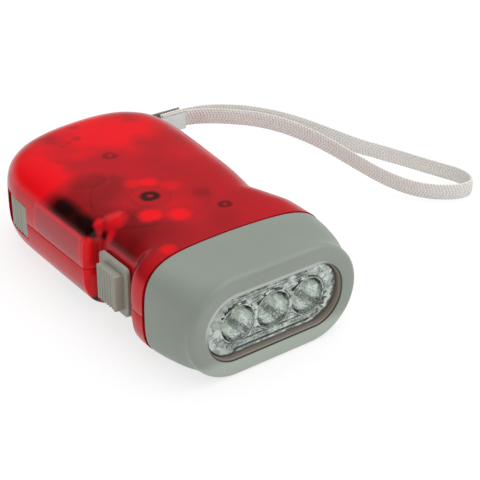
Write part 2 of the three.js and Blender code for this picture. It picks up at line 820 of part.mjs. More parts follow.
function rotorPinion() {
  const pinion = gear(gears.rotorPinionTeeth, rotorPhase, rotorShaft, layer.rotorPinion, layer.rotorTop);
  return cut(pinion, boreFor(rotorShaft, layer.rotorPinion, layer.rotorTop));
}

function rotorMagnet() {
  return cut(
    post(rotorShaft, magnet.radius, magnet.low, magnet.high, facets.round),
    boreFor(rotorShaft, magnet.low, magnet.high),
  );
}

// Lever

// The body's own edge in plan, moved in, along the stretch where the lever is. It only ever runs back.
function leverEdge(by) {
  const spare = lever.wall * 2;
  let last = -Infinity;
  return inset(bodyOutline(), by)
    .filter((p) => p.x > 0 && p.y > lever.start - spare && p.y < lever.end + spare)
    .filter((p) => {
      const onward = p.y > last + FIT / 10;
      last = Math.max(last, p.y);
      return onward;
    })
    .map((p) => [p.x, p.y]);
}

// A band between two such edges, cut square at its ends.
function leverBand(outer, inner, front, back, low, high) {
  const shape = polygon([...leverEdge(outer), ...leverEdge(inner).reverse()]);
  return prism(shape, low, high).intersect(box(0, LENGTH, front, back, low - OVERRUN, high + OVERRUN));
}

const leverSide = (by, y) => leverEdge(by).find(([, at]) => at >= y)[0];

function turnedAbout(part, place, angle) {
  const degrees = THREE.MathUtils.radToDeg(angle);
  return part.translate(-place.x, -place.y, 0).rotate(0, 0, degrees).translate(place.x, place.y, 0);
}

function sectorShape(grow = 0) {
  const step = (2 * Math.PI) / gears.sectorTeeth;
  const from = Math.ceil(lever.sectorStart / step);
  const to = Math.floor(lever.sectorEnd / step);
  const root = pitchRadius(gears.sectorTeeth) - tooth.root * tooth.module - lever.sectorRim;
  const teeth = gearPoints(gears.sectorTeeth, 0, from, to);
  const first = (from - 0.5) * step;
  const last = (to - 0.5) * step;
  const inner = [
    [root * Math.cos(last), root * Math.sin(last)],
    [lever.hubNeck * Math.cos(last), lever.hubNeck * Math.sin(last)],
    [lever.hubNeck * Math.cos(first), lever.hubNeck * Math.sin(first)],
  ];
  return polygon(placed([...teeth, ...inner], leverShaft));
}

// A window through the sector's web, so that it is an arm each side of a rim, as moulded ones are.
function sectorWindow() {
  const rootShare = 0.42;
  const edgeAngle = 0.13;
  const root = pitchRadius(gears.sectorTeeth) - tooth.root * tooth.module - lever.sectorRim;
  const low = lever.sectorStart + edgeAngle;
  const high = lever.sectorEnd - edgeAngle;
  const middle = (low + high) / 2;
  const at = (radius, angle) => [radius * Math.cos(angle), radius * Math.sin(angle)];
  const points = [
    at(root, low), at(root, middle), at(root, high),
    at(root * rootShare, high - edgeAngle / 2), at(root * rootShare, low + edgeAngle / 2),
  ];
  return prism(polygon(placed(points, leverShaft)), layer.sector - OVERRUN, layer.sector + layer.sectorThick + OVERRUN);
}

const leverLow = MID - lever.half;
const leverHigh = MID + lever.half;

function squeezeLever() {
  const face = leverBand(lever.inset, lever.depth, lever.start, lever.end, leverLow, leverHigh)
    .intersect(outerForm);
  const hollow = leverBand(
    lever.inset + lever.wall, lever.depth + OVERRUN,
    lever.start - OVERRUN, lever.end - lever.wall,
    leverLow + lever.wall, leverHigh - lever.wall,
  );
  const frontX = leverSide(lever.depth, lever.start);
  const tipX = leverSide(lever.depth, lever.end - lever.wall);
  const hub = post(leverShaft, lever.hub, leverLow, leverHigh);
  const arms = [leverLow, leverHigh - lever.wall].map((low) =>
    prism(
      polygon([
        [leverShaft.x - lever.hub, leverShaft.y],
        [leverShaft.x + lever.hub, leverShaft.y],
        [frontX + lever.depth / 2, lever.start + lever.wall * 2],
        [frontX + lever.wall, lever.start + lever.depth],
      ]),
      low, low + lever.wall,
    ),
  );
  const sector = prism(sectorShape(), layer.sector, layer.sector + layer.sectorThick);
  const catchX = latch.toothEdge - latch.toothWide - FIT - lever.barbThick;
  const catchArm = box(
    catchX, tipX + lever.wall,
    lever.end - lever.catchThick, lever.end,
    leverLow, latch.barLow + latch.barThick + FIT,
  );
  const barb = box(
    catchX, catchX + lever.barbThick,
    lever.end - lever.catchThick - lever.barbLong, lever.end,
    leverLow, latch.barLow + latch.barThick + FIT,
  );
  const neck = cut(
    post(leverShaft, lever.hub + OVERRUN, lever.neckLow, lever.neckHigh),
    post(leverShaft, lever.hubNeck, lever.neckLow - OVERRUN, lever.neckHigh + OVERRUN),
  );
  const whole = join(cut(face, hollow), hub, ...arms, sector, catchArm, barb);
  return cut(whole, neck, sectorWindow(), boreFor(leverShaft, leverLow, leverHigh));
}

// The room that the lever needs as it swings, cut from both shells.
function leverSweep() {
  const low = leverLow - lever.gap;
  const high = leverHigh + lever.gap;
  const front = lever.start - lever.gap;
  const back = lever.end + lever.gap;
  const deep = lever.depth + lever.gap;
  const inner = leverEdge(deep);
  const outside = body.leverSide + OVERRUN;
  const room = prism(
    polygon([[outside, front - OVERRUN], [outside, back + OVERRUN], ...inner.reverse()]), low, high,
  ).intersect(box(0, 2 * outside, front, back, low, high));
  const turns = [];
  const waist = prism(
    polygon([
      [leverShaft.x + lever.hub / 2, leverShaft.y - lever.gap],
      [leverShaft.x + lever.hub + lever.gap, leverShaft.y - lever.gap],
      [leverSide(-lever.gap, front), front],
      [leverShaft.x, front + lever.depth],
    ]),
    low, high,
  );
  for (let i = 0; i <= lever.sweepSteps; i += 1) {
    turns.push(turnedAbout(waist, leverShaft, (-lever.swing * i) / lever.sweepSteps));
  }
  return join(room, ...turns);
}

// One wire: a leg against the screw post, the coil round the hub, a leg against the lever.
function springPath() {
  const stepsPerTurn = 8;
  const at = (x, y, z) => new THREE.Vector3(leverShaft.x + x, leverShaft.y + y, z);
  const points = [
    at(-spring.fixedLeg, -spring.coil, spring.low),
    at(-spring.fixedLeg / 2, -spring.coil, spring.low),
  ];
  for (let i = 0; i <= spring.turns * stepsPerTurn; i += 1) {
    const turn = i / stepsPerTurn;
    const angle = 2 * Math.PI * turn - Math.PI / 2;
    points.push(at(spring.coil * Math.cos(angle), spring.coil * Math.sin(angle), spring.low + turn * spring.pitch));
  }
  const top = points[points.length - 1].z;
  const endY = leverShaft.y + spring.reach;
  const endX = leverSide(lever.inset + lever.wall + FIT + spring.wire, endY) - leverShaft.x;
  points.push(at(spring.coil, spring.coil, top), at(endX, spring.reach, top));
  return new THREE.CatmullRomCurve3(points);
}

// The least gap between the wire and itself, measured on points of its path a half turn or more apart.
function springGap() {
  const points = springPath().getSpacedPoints(600);
  const step = points[0].distanceTo(points[1]);
  const apart = Math.ceil((Math.PI * spring.coil) / step);
  let least = Infinity;
  points.forEach((p, i) => {
    for (let k = i + apart; k < points.length; k += 1) least = Math.min(least, p.distanceTo(points[k]));
  });
  return least - spring.wire;
}

function leverSpring() {
  const ring = new THREE.Shape();
  const sides = 5;
  const shares = [...Array(sides).keys()].map((i) => (2 * Math.PI * i) / sides);
  const radius = spring.wire / 2;
  shares.forEach((angle, i) => {
    const x = radius * Math.cos(angle);
    const y = radius * Math.sin(angle);
    if (i === 0) ring.moveTo(x, y);
    else ring.lineTo(x, y);
  });
  const steps = Math.round(spring.turns * 10);
  return solid(new THREE.ExtrudeGeometry(ring, { steps, extrudePath: springPath(), bevelEnabled: false }));
}

// Dynamo

function statorCore() {
  const left = rotorShaft.x - core.outerHalf;
  const right = rotorShaft.x + core.outerHalf;
  const high = layer.core + layer.coreThick;
  const whole = box(left, right, core.front, core.legBack, layer.core, high);
  const inside = box(
    rotorShaft.x - core.innerHalf, rotorShaft.x + core.innerHalf,
    core.front - OVERRUN, core.legBack - core.legThick,
    layer.core - OVERRUN, high + OVERRUN,
  );
  const roundCut = post(
    rotorShaft, magnet.radius + magnet.airGap, layer.core - OVERRUN, high + OVERRUN, facets.round,
  );
  return cut(whole, inside, roundCut);
}

const coilMid = {
  x: rotorShaft.x,
  y: core.legBack - core.legThick / 2,
  z: layer.core + layer.coreThick / 2,
};

// A ring revolved about the coil's own axis, which runs along X.
function ringAlongX(profile, sides = facets.boss) {
  const points = profile.map(([radius, along]) => new THREE.Vector2(radius, along));
  points.push(points[0].clone());
  const geometry = new THREE.LatheGeometry(points, sides);
  return solid(geometry.rotateZ(-Math.PI / 2).translate(coilMid.x, coilMid.y, coilMid.z));
}

function coilBobbin() {
  const end = coil.long / 2;
  const inner = end - coil.flangeThick;
  return ringAlongX([
    [coil.bore, -end],
    [coil.flange, -end],
    [coil.flange, -inner],
    [coil.tube, -inner],
    [coil.tube, inner],
    [coil.flange, inner],
    [coil.flange, end],
    [coil.bore, end],
  ]);
}

function coilWinding() {
  const end = coil.long / 2 - coil.flangeThick - FIT / 2;
  const low = coil.tube + FIT / 2;
  return ringAlongX([
    [low, -end],
    [coil.wound, -end],
    [coil.wound, end],
    [low, end],
  ]);
}

// Carries the lower end of the rotor's shaft over the first wheel.

function bearingPlate() {
  const round = boss.shaft + FIT;
  const low = layer.plate;
  const high = layer.plate + layer.plateThick;
  const left = -body.switchSide + body.wall + FIT;
  const arm = prism(
    polygon([
      [left, plateRib.front],
      [platePost.x - round, platePost.y],
      [platePost.x + round, platePost.y],
      [rotorShaft.x + round, rotorShaft.y],
      [rotorShaft.x, rotorShaft.y + round],
      [left, plateRib.back],
    ]),
    low, high,
  );
  const plate = join(arm, post(platePost, round, low, high), post(rotorShaft, round, low, high));
  return cut(plate, boreFor(rotorShaft, low, high));
}

// Shells

const shellWall = (() => {
  const outer = pillow(0).intersect(behindJoint(FIT / 2));
  const spigotOut = head.wall + FIT;
  const region = box(
    -LENGTH, LENGTH,
    spigot.start, head.length + spigot.cover,
    -OVERRUN, THICK + OVERRUN,
  );
  const lip = pillow(spigotOut).intersect(region);
  const cavity = pillow(body.wall).intersect(behindJoint(spigot.cover));
  return cut(join(outer, lip), cavity, pillow(spigotOut + spigot.thick));
})();

const outerForm = pillow(0).intersect(behindJoint(FIT / 2));

function switchSlot() {
  const middle = (thumb.blockFront + thumb.blockBack) / 2;
  return box(
    -body.switchSide - OVERRUN, -body.switchSide + notch.depth + body.wall + OVERRUN,
    middle - thumb.neckLong / 2 - FIT, middle + thumb.neckLong / 2 + thumb.travel + FIT,
    MID - thumb.neckHalf - FIT, MID + thumb.neckHalf + FIT,
  );
}

function latchWindow() {
  return box(
    -body.switchSide - OVERRUN, -body.switchSide / 2 - OVERRUN * 2,
    latch.front - latch.gap, latch.windowBack,
    MID - latch.half - latch.gap, MID + latch.half + latch.gap,
  );
}

const crimpLow = crimp.z - crimp.wide / 2;
const crimpHigh = crimp.z + crimp.wide / 2;

function cornerBlock() {
  return box(
    strapSlot.left - body.wall, body.leverSide + OVERRUN,
    lever.end + lever.gap + body.wall / 2, LENGTH + OVERRUN,
    MID, THICK,
  ).intersect(outerForm);
}

function cornerSlot() {
  const slot = box(
    strapSlot.left, body.leverSide + OVERRUN,
    strapSlot.front, strapSlot.back,
    crimp.z - strapSlot.half, crimp.z + strapSlot.half,
  );
  const low = crimp.z - strapSlot.half - boss.socket;
  return join(slot, post(strapPost, strapPost.radius + RUN, low, crimp.z + strapSlot.half + boss.socket, facets.small));
}

const shafts = [
  { name: "lever_shaft", place: leverShaft, under: leverLow, over: leverHigh },
  { name: "first_shaft", place: firstShaft, under: layer.firstPinion, over: layer.firstTop },
  { name: "second_shaft", place: secondShaft, under: layer.secondPinion, over: layer.secondTop },
];
const floorTop = body.wall;
const ceiling = THICK - body.wall;
const pinLow = floorTop + FIT;
const pinHigh = ceiling - FIT;

function bottomShell() {
  const posts = shafts.map(({ place, under }) => post(place, boss.shaft, body.wall / 2, under - FIT));
  const screwPosts = screwPlaces.map((place) => post(place, boss.screw, 0, MID));
  const plateSupports = [
    post(platePost, boss.shaft - FIT, body.wall / 2, layer.plate - FIT),
    box(
      -body.switchSide, -body.switchSide + body.wall + plateRib.inner,
      plateRib.front, plateRib.back, body.wall / 2, layer.plate - FIT,
    ),
    box(
      -body.switchSide + body.wall + FIT, rotorShaft.x - core.outerHalf + coreRib.under,
      coreRib.front, coreRib.back, body.wall / 2, layer.core - FIT,
    ),
  ];
  const switchFloor = box(
    microLeft, microRight, microSwitch.front + 1 * FIT, microSwitch.back - FIT,
    body.wall / 2, MID - microSwitch.half - FIT,
  );
  const barGuides = [latch.guideLeft, latch.guideRight].map((x) =>
    box(x, x + body.wall, latch.legFront, latch.legFront + latch.barWide + latch.travel, body.wall / 2, latch.barLow - FIT),
  );
  const cradles = cut(
    join(...cellCradles()),
    batteryRound(FIT),
  );
  const inside = join(...posts, ...screwPosts, ...plateSupports, switchFloor, ...barGuides, cradles)
    .intersect(outerForm);
  const pinHoles = shafts.map(({ place }) =>
    post(place, shaftRadius + RUN, pinLow - RUN, MID, facets.shaft),
  );
  const screwHoles = screwPlaces.flatMap((place) => [
    post(place, screw.shank + RUN, 0, MID + OVERRUN, facets.shaft),
    post(place, screw.pocket, -OVERRUN, screw.seat, facets.shaft),
  ]);
  const shell = join(shellWall.intersect(lowerHalf), inside);
  return cut(shell, ...pinHoles, ...screwHoles, switchSlot(), latchWindow(), leverSweep());
}

function topShell() {
  const posts = shafts.map(({ place, over }) => post(place, boss.shaft, over + FIT, THICK - body.wall / 2));
  posts.push(post(rotorShaft, boss.shaft, layer.rotorTop + FIT, THICK - body.wall / 2));
  const screwPosts = screwPlaces.map((place) => post(place, boss.screw, MID, THICK - body.wall / 2));
  const coreTop = layer.core + layer.coreThick + FIT;
  const armX = [-1, 1].map((side) => rotorShaft.x + (side * (core.outerHalf + core.innerHalf)) / 2);
  const coreShare = 0.62;
  const coreY = core.front + (core.legBack - core.front) * coreShare;
  const corePosts = armX.map((x) =>
    post({ x, y: coreY }, core.legThick / 2, coreTop, THICK - body.wall / 2),
  );
  const boardY = (chargeBoard.front + chargeBoard.back) / 2;
  const boardPosts = [chargeBoard.left, chargeBoard.right].map((x, i) =>
    post(
      { x: x + (i === 0 ? 1 : -1) * boss.shaft, y: boardY },
      boss.shaft / 1.5,
      chargeBoard.low + chargeBoard.thick + FIT,
      THICK - body.wall / 2,
    ),
  );
  const inside = join(...posts, ...screwPosts, ...corePosts, ...boardPosts, cornerBlock())
    .intersect(outerForm);
  const pinHoles = [...shafts, { place: rotorShaft, over: layer.rotorTop }].map(({ place, over }) =>
    post(place, shaftRadius + RUN, over - OVERRUN, pinHigh + RUN, facets.shaft),
  );
  const screwEnd = screw.seat + screw.long + FIT;
  const screwHoles = screwPlaces.map((place) =>
    post(place, screw.shank + RUN, MID - OVERRUN, screwEnd, facets.shaft),
  );
  const shell = join(shellWall.intersect(upperHalf), inside);
  return cut(shell, ...pinHoles, ...screwHoles, switchSlot(), latchWindow(), leverSweep(), cornerSlot());
}

// Battery and boards

const batteryLong = cell.count * cell.long + (cell.count - 1) * cell.gap;

function alongX(radius, x0, x1, sides) {
  const geometry = new THREE.CylinderGeometry(radius, radius, x1 - x0, sides);
  return solid(geometry.rotateZ(Math.PI / 2).translate((x0 + x1) / 2, cell.y, cell.z));
}

const batteryRound = (gap) =>
  alongX(cell.radius + gap, cell.firstX - LENGTH, cell.firstX + LENGTH, facets.round);

function cellCradles() {
  return [1, cell.count].map((place) => {
    const middle = cell.firstX + (place - 0.5) * (cell.long + cell.gap);
    return box(
      middle - cradle.thick / 2, middle + cradle.thick / 2,
      cell.y - cradle.half, cell.y + cradle.half,
      body.wall / 2, cradle.high,
    );
  });
}

function buttonCell(index) {
  const start = cell.firstX + index * (cell.long + cell.gap);
  return alongX(cell.radius, start, start + cell.long, facets.boss);
}

function contactPlate(side) {
  const x = side < 0 ? cell.firstX - FIT - contact.thick : cell.firstX + batteryLong + FIT;
  return box(x, x + contact.thick, cell.y - contact.half, cell.y + contact.half, contact.low, contact.high);
}

function chargingBoard() {
  return box(
    chargeBoard.left, chargeBoard.right,
    chargeBoard.front, chargeBoard.back,
    chargeBoard.low, chargeBoard.low + chargeBoard.thick,
  );
}

// Switch

const notchFloor = -body.switchSide + notch.depth;
const microLeft = notchFloor + body.wall + microSwitch.inner;
const microRight = microLeft + microSwitch.wide;

function ribCuts(front, back, outer, deep, count, gapShare, half) {
  const pitch = (back - front) / count;
  const grooves = [];
  for (let i = 1; i < count; i += 1) {
    const y = front + i * pitch;
    grooves.push(box(
      outer - OVERRUN, outer + deep,
      y - (pitch * gapShare) / 2, y + (pitch * gapShare) / 2,
      MID - half, MID + half,
    ));
  }
  return join(...grooves);
}

function thumbSlider() {
  const plateIn = notchFloor - thumb.lift;
  const plateOut = plateIn - thumb.plateThick;
  const blockOut = -body.switchSide - thumb.blockProud;
  const middle = (thumb.blockFront + thumb.blockBack) / 2;
  const shape = roundedRect(
    thumb.back - thumb.front, 2 * thumb.half, thumb.corner, (thumb.front + thumb.back) / 2, MID,
  );
  const options = { depth: thumb.plateThick, bevelEnabled: false, curveSegments: facets.curve };
  // Drawn in Y and Z, then stood up to face along X.
  const plate = solid(
    new THREE.ExtrudeGeometry(shape, options)
      .applyMatrix4(new THREE.Matrix4().set(0, 0, 1, plateOut, 1, 0, 0, 0, 0, 1, 0, 0, 0, 0, 0, 1)),
  );
  const block = box(
    blockOut, plateOut + thumb.plateThick / 2,
    thumb.blockFront, thumb.blockBack,
    MID - thumb.blockHalf, MID + thumb.blockHalf,
  );
  const neck = box(
    plateIn - thumb.plateThick / 2, microLeft + microSwitch.slotDeep - FIT,
    middle - thumb.neckLong / 2, middle + thumb.neckLong / 2,
    MID - thumb.neckHalf, MID + thumb.neckHalf,
  );
  const ribs = ribCuts(
    thumb.blockFront, thumb.blockBack, blockOut, thumb.ribDeep, thumb.ribs, thumb.ribGapShare, thumb.blockHalf,
  );
  return cut(join(plate, block, neck), ribs);
}

function microSwitchBody() {
  const middle = (thumb.blockFront + thumb.blockBack) / 2;
  const whole = box(
    microLeft, microRight, microSwitch.front, microSwitch.back,
    MID - microSwitch.half, MID + microSwitch.half,
  );
  const slot = box(
    microLeft - OVERRUN, microLeft + microSwitch.slotDeep,
    middle - thumb.neckLong / 2 - FIT, middle + thumb.neckLong / 2 + thumb.travel + FIT,
    MID - thumb.neckHalf - FIT, MID + thumb.neckHalf + FIT,
  );
  return cut(whole, slot);
}

// Latch

function latchSlider() {
  const slab = box(
    -body.switchSide - OVERRUN, -body.switchSide / 2,
    latch.front, latch.back,
    MID - latch.half, MID + latch.half,
  );
  const pad = cut(slab.intersect(outerForm), pillow(body.wall));
  const ribs = ribCuts(
    latch.front, latch.back, -body.switchSide, latch.ribDeep, latch.ribs, latch.ribGapShare,
    latch.half - latch.ribDeep,
  );
  const padLink = box(
    -body.switchSide + latch.ribDeep * 2, latch.legLeft + latch.legThick,
    latch.legFront - latch.barWide, latch.legFront,
    MID - latch.half, MID - FIT,
  );
  const leg = box(
    latch.legLeft, latch.legLeft + latch.legThick,
    latch.legFront - latch.barWide, latch.legFront + FIT,
    latch.barLow, MID - FIT,
  );
  const barLink = box(
    latch.legLeft + latch.legThick / 2, latch.toothEdge,
    latch.legFront, latch.legFront + latch.barWide,
    latch.barLow, latch.barLow + latch.barThick,
  );
  const hook = box(
    latch.toothEdge - latch.toothWide, latch.toothEdge,
    latch.legFront, latch.legFront + latch.barWide + latch.toothLong,
    latch.barLow, latch.barLow + latch.barThick,
  );
  return join(cut(pad, ribs), padLink, leg, barLink, hook);
}

// Screws, shafts and strap

function screwSolid({ x, y }) {
  const points = [
    [0, screw.seat - screw.headHigh],
    [screw.head, screw.seat - screw.headHigh],
    [screw.head, screw.seat],
    [screw.shank, screw.seat],
    [screw.shank, screw.seat + screw.long - screw.tip],
    [0, screw.seat + screw.long],
  ].map(([radius, z]) => new THREE.Vector2(radius, z));
  return solid(new THREE.LatheGeometry(points, facets.shaft).rotateX(Math.PI / 2).scale(1, 1, 1).translate(x, y, 0));
}

// The folded steel clip: a sheet bent round the post, with the strap's ends between its legs.
function strapCrimp() {
  const half = crimp.inside / 2;
  const outer = half + crimp.sheet;
  const shape = new THREE.Shape();
  const eyeOut = crimp.eye + crimp.sheet;
  const neck = eyeOut * 1.1;
  shape.moveTo(crimp.long, -outer);
  shape.lineTo(crimp.long, -half);
  shape.lineTo(neck + outer, -half);
  shape.lineTo(neck, -crimp.eye * 0.7);
  shape.absarc(0, 0, crimp.eye, -Math.PI / 5, Math.PI / 5, true);
  shape.lineTo(neck, crimp.eye * 0.7);
  shape.lineTo(neck + outer, half);
  shape.lineTo(crimp.long, half);
  shape.lineTo(crimp.long, outer);
  shape.lineTo(neck + outer, outer);
  shape.absarc(0, 0, eyeOut, Math.PI / 4, -Math.PI / 4, false);
  shape.lineTo(neck + outer, -outer);
  const options = { depth: crimp.wide, bevelEnabled: false, curveSegments: facets.small };
  return solid(
    new THREE.ExtrudeGeometry(shape, options)
      .rotateZ(crimp.turn)
      .translate(strapPost.x, strapPost.y, crimpLow),
  );
}

// A straight band bent onto the route, with its width kept upright.
function strapBand() {
  const route = new THREE.CatmullRomCurve3(strapRoute.map(([x, y, z]) => new THREE.Vector3(x, y, z)));
  const w = band.wide / 2;
  const t = band.thick / 2;
  const c = t * band.cornerShare;
  const shape = polygon([
    [w, -t + c], [w, t - c], [w - c, t], [-w + c, t],
    [-w, t - c], [-w, -t + c], [-w + c, -t], [w - c, -t],
  ]);
  const geometry = new THREE.ExtrudeGeometry(shape, { steps: band.steps, depth: 1, bevelEnabled: false });
  const position = geometry.attributes.position;
  const upright = new THREE.Vector3(0, 0, 1);
  for (let i = 0; i < position.count; i += 1) {
    const share = THREE.MathUtils.clamp(position.getZ(i), 0, 1);
    const point = route.getPointAt(share);
    const ahead = route.getTangentAt(share);
    const up = upright.clone().addScaledVector(ahead, -ahead.dot(upright)).normalize();
    const side = ahead.clone().cross(up);
    point.addScaledVector(up, position.getX(i)).addScaledVector(side, position.getY(i));
    position.setXYZ(i, point.x, point.y, point.z);
  }
  return solid(geometry);
}

// The whole torch

piece("bottom_shell", bottomShell(), colour.red);
piece("top_shell", topShell(), colour.red);
piece("head_bezel", headBezel(), colour.grey);
piece("window_lens", windowLens(), colour.clear);
piece("reflector", reflectorBlock(), colour.chrome);
cupPlaces.forEach((x, i) => piece(`led_${i + 1}`, ledLamp(x), colour.clear));
piece("lamp_board", lampBoard(), colour.board);

piece("squeeze_lever", squeezeLever(), colour.red);
piece("lever_spring", leverSpring(), colour.steel);
piece("first_gear", firstGear(), colour.nylon);
piece("second_gear", secondGear(), colour.nylon);
piece("rotor_pinion", rotorPinion(), colour.nylon);
piece("rotor_magnet", rotorMagnet(), colour.ferrite);
shafts.forEach(({ name, place }) =>
  piece(name, post(place, shaftRadius, pinLow, pinHigh, facets.shaft), colour.steel),
);
piece("rotor_shaft", post(rotorShaft, shaftRadius, layer.plate, pinHigh, facets.shaft), colour.steel);
piece("bearing_plate", bearingPlate(), colour.nylon);
piece("stator_core", statorCore(), colour.iron);
piece("coil_bobbin", coilBobbin(), colour.nylon);
piece("coil_winding", coilWinding(), colour.copper);

for (let i = 0; i < cell.count; i += 1) {
  piece(`battery_cell_${i + 1}`, buttonCell(i), colour.cellSkin);
}
piece("contact_left", contactPlate(-1), colour.steel);
piece("contact_right", contactPlate(1), colour.steel);
piece("charging_board", chargingBoard(), colour.board);

piece("switch_thumb", thumbSlider(), colour.grey);
piece("switch_body", microSwitchBody(), colour.black);
piece("latch_slider", latchSlider(), colour.grey);

screwPlaces.forEach((place, i) => piece(`screw_${i + 1}`, screwSolid(place), colour.steel));

const postEnds = strapSlot.half + boss.socket - FIT;
piece(
  "strap_post",
  post(strapPost, strapPost.radius, crimp.z - postEnds, crimp.z + postEnds, facets.small),
  colour.steel,
);
piece("strap_crimp", strapCrimp(), colour.steel);
piece("wrist_strap", strapBand(), colour.fabric);

// The frame's origin: under the middle of the torch, which leaves the loose strap out.
const strapPieces = ["strap_crimp", "wrist_strap"];
const bounds = new THREE.Box3();
torch.children
  .filter((mesh) => !strapPieces.includes(mesh.name))
  .forEach((mesh) => bounds.expandByObject(mesh));
const middle = bounds.getCenter(new THREE.Vector3());
console.log("least gap between the lever spring's turns", springGap().toFixed(3));
torch.position.set(-middle.x, -middle.y, -bounds.min.z);
console.log("middle of the torch, from the front face", middle.x.toFixed(4), middle.y.toFixed(4), bounds.min.z.toFixed(4));

const group = new THREE.Group();
group.add(torch);

export default group;
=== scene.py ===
import bpy
import bmesh
import json
from math import cos, sin, pi, radians
import numpy as np
from mathutils import Matrix, Vector

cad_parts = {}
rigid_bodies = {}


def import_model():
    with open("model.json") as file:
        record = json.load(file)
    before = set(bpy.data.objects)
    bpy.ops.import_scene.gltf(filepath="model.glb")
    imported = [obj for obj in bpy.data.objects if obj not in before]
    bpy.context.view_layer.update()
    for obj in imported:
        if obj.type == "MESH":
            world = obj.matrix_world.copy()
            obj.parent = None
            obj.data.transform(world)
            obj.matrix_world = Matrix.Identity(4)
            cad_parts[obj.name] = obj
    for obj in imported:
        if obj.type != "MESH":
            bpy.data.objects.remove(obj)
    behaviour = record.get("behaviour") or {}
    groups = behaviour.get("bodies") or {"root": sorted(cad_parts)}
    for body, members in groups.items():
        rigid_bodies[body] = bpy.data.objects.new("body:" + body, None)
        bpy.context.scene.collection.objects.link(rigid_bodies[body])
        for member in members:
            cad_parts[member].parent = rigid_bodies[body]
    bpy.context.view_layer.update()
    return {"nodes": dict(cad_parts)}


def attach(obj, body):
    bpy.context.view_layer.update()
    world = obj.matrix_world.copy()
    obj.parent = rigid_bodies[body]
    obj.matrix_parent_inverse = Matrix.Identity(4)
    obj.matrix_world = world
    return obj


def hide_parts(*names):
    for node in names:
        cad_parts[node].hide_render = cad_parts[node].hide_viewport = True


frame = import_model()
print("frame loaded,", len(frame["nodes"]), "nodes")

# Sizes below are in millimetres from the torch's front face (y) and its resting plane (z).
middle = np.array([0.7995, 52.4992, 0.0])
body = dict(length=105, thick=27.6, switchSide=27.6, leverSide=29.6, wall=2,
            spineX=1, spineEnd=80,  # the line that the pillow form rounds about, and where it ends
            flatShare=0.35, power=3.6, powerBelow=3.15,  # a higher power is squarer
            frontRun=30, partingRound=0.3, outlineStep=0.7)
head = dict(half=27.8, frontHalf=25.4, length=19.8, jointSweep=4, rim=1.6, taperEnd=20, squarer=0.6,
            windowWide=40.2, windowHigh=17, windowCorner=8, lip=3.8, lipRound=0.9, lipChamfer=0.15,
            jointGap=0.15, jointRound=0.3, wall=2.2,
            chamber=(4.2, 4, 1.6), chamberBack=13.8)  # wider, higher and rounder than the window
notch = dict(depth=3.8, front=22, back=45, floorFront=27, floorBack=43)
midZ = body["thick"] / 2


def toFrame(points):  # millimetres from the front face to metres in the frame
    return (np.asarray(points, float) - middle) * 0.001


# camera

view = dict(azimuth=-36.9, elevation=29.8, roll=0.4, focal=1304.0, distance=314.85,
            window=(-0.65, 0.0, 14.2), windowPixel=(275.4, 311.9), frameSize=480.0, sensor=36,
            clip=(0.01, 10))


def placeCamera():
    # puts the window's middle on its pixel of the frame, seen from the view's angles
    az, el, roll = radians(view["azimuth"]), radians(view["elevation"]), radians(view["roll"])
    back = np.array([sin(az) * cos(el), -cos(az) * cos(el), sin(el)])
    right = np.array([cos(az), sin(az), 0.0])
    up = np.cross(back, right)
    right, up = right * cos(roll) + up * sin(roll), up * cos(roll) - right * sin(roll)
    away = view["distance"] / view["focal"]
    half = view["frameSize"] / 2
    place = (np.array(view["window"]) + back * view["distance"]
             - right * (view["windowPixel"][0] - half) * away
             + up * (view["windowPixel"][1] - half) * away)
    data = bpy.data.cameras.new("photoCamera")
    data.sensor_width = view["sensor"]
    data.lens = view["sensor"] * view["focal"] / view["frameSize"]
    data.clip_start, data.clip_end = view["clip"]
    camera = bpy.data.objects.new("photoCamera", data)
    bpy.context.collection.objects.link(camera)
    turn = Matrix((right, up, back)).transposed().to_4x4()
    camera.matrix_world = Matrix.Translation(Vector(toFrame(place))) @ turn
    bpy.context.scene.camera = camera


placeCamera()


# meshes from arrays

def gridFaces(rows, columns, around=True):
    # each cell of a rows by columns grid of points becomes one face; around joins the last column
    # to the first
    row = np.arange(rows - 1)[:, None]
    column = np.arange(columns if around else columns - 1)[None, :]
    after = (column + 1) % columns
    return np.stack([row * columns + column, row * columns + after,
                     (row + 1) * columns + after, (row + 1) * columns + column], -1).reshape(-1, 4)


def meshObject(name, points, faces, smoothAngle=35):
    # a mesh from points in millimetres, smooth but for edges sharper than an angle
    mesh = bpy.data.meshes.new(name)
    mesh.from_pydata(toFrame(points).tolist(), [], [list(map(int, face)) for face in faces])
    mesh.validate()
    mesh.update()
    piece = bpy.data.objects.new(name, mesh)
    bpy.context.collection.objects.link(piece)
    shade(piece, smoothAngle)
    return piece


def shade(piece, angle):
    piece.data.shade_smooth()
    piece.data.set_sharp_from_angle(angle=radians(angle))


def loft(rings, capLast=True):
    # rings of equal length joined in turn, each a closed loop, with a flat face over each end
    rings = np.asarray(rings, float)
    count, around = rings.shape[:2]
    faces = list(gridFaces(count, around)) + [np.arange(around)[::-1]]
    if capLast:
        faces.append(np.arange(around) + (count - 1) * around)
    return rings.reshape(-1, 3), faces


def prism(outline, low, high):
    # an outline in plan pushed up from low to high
    flat = np.asarray(outline, float)
    ring = lambda z: np.column_stack([flat, np.full(len(flat), z)])
    return loft([ring(low), ring(high)])


def boxSolid(x0, x1, y0, y1, z0, z1):
    return prism([(x0, y0), (x1, y0), (x1, y1), (x0, y1)], z0, z1)


def circle(x, y, radius, sides=48):
    # x + r cos t, y + r sin t at even turns t
    turn = np.arange(sides) * 2 * pi / sides
    return np.column_stack([x + radius * np.cos(turn), y + radius * np.sin(turn)])


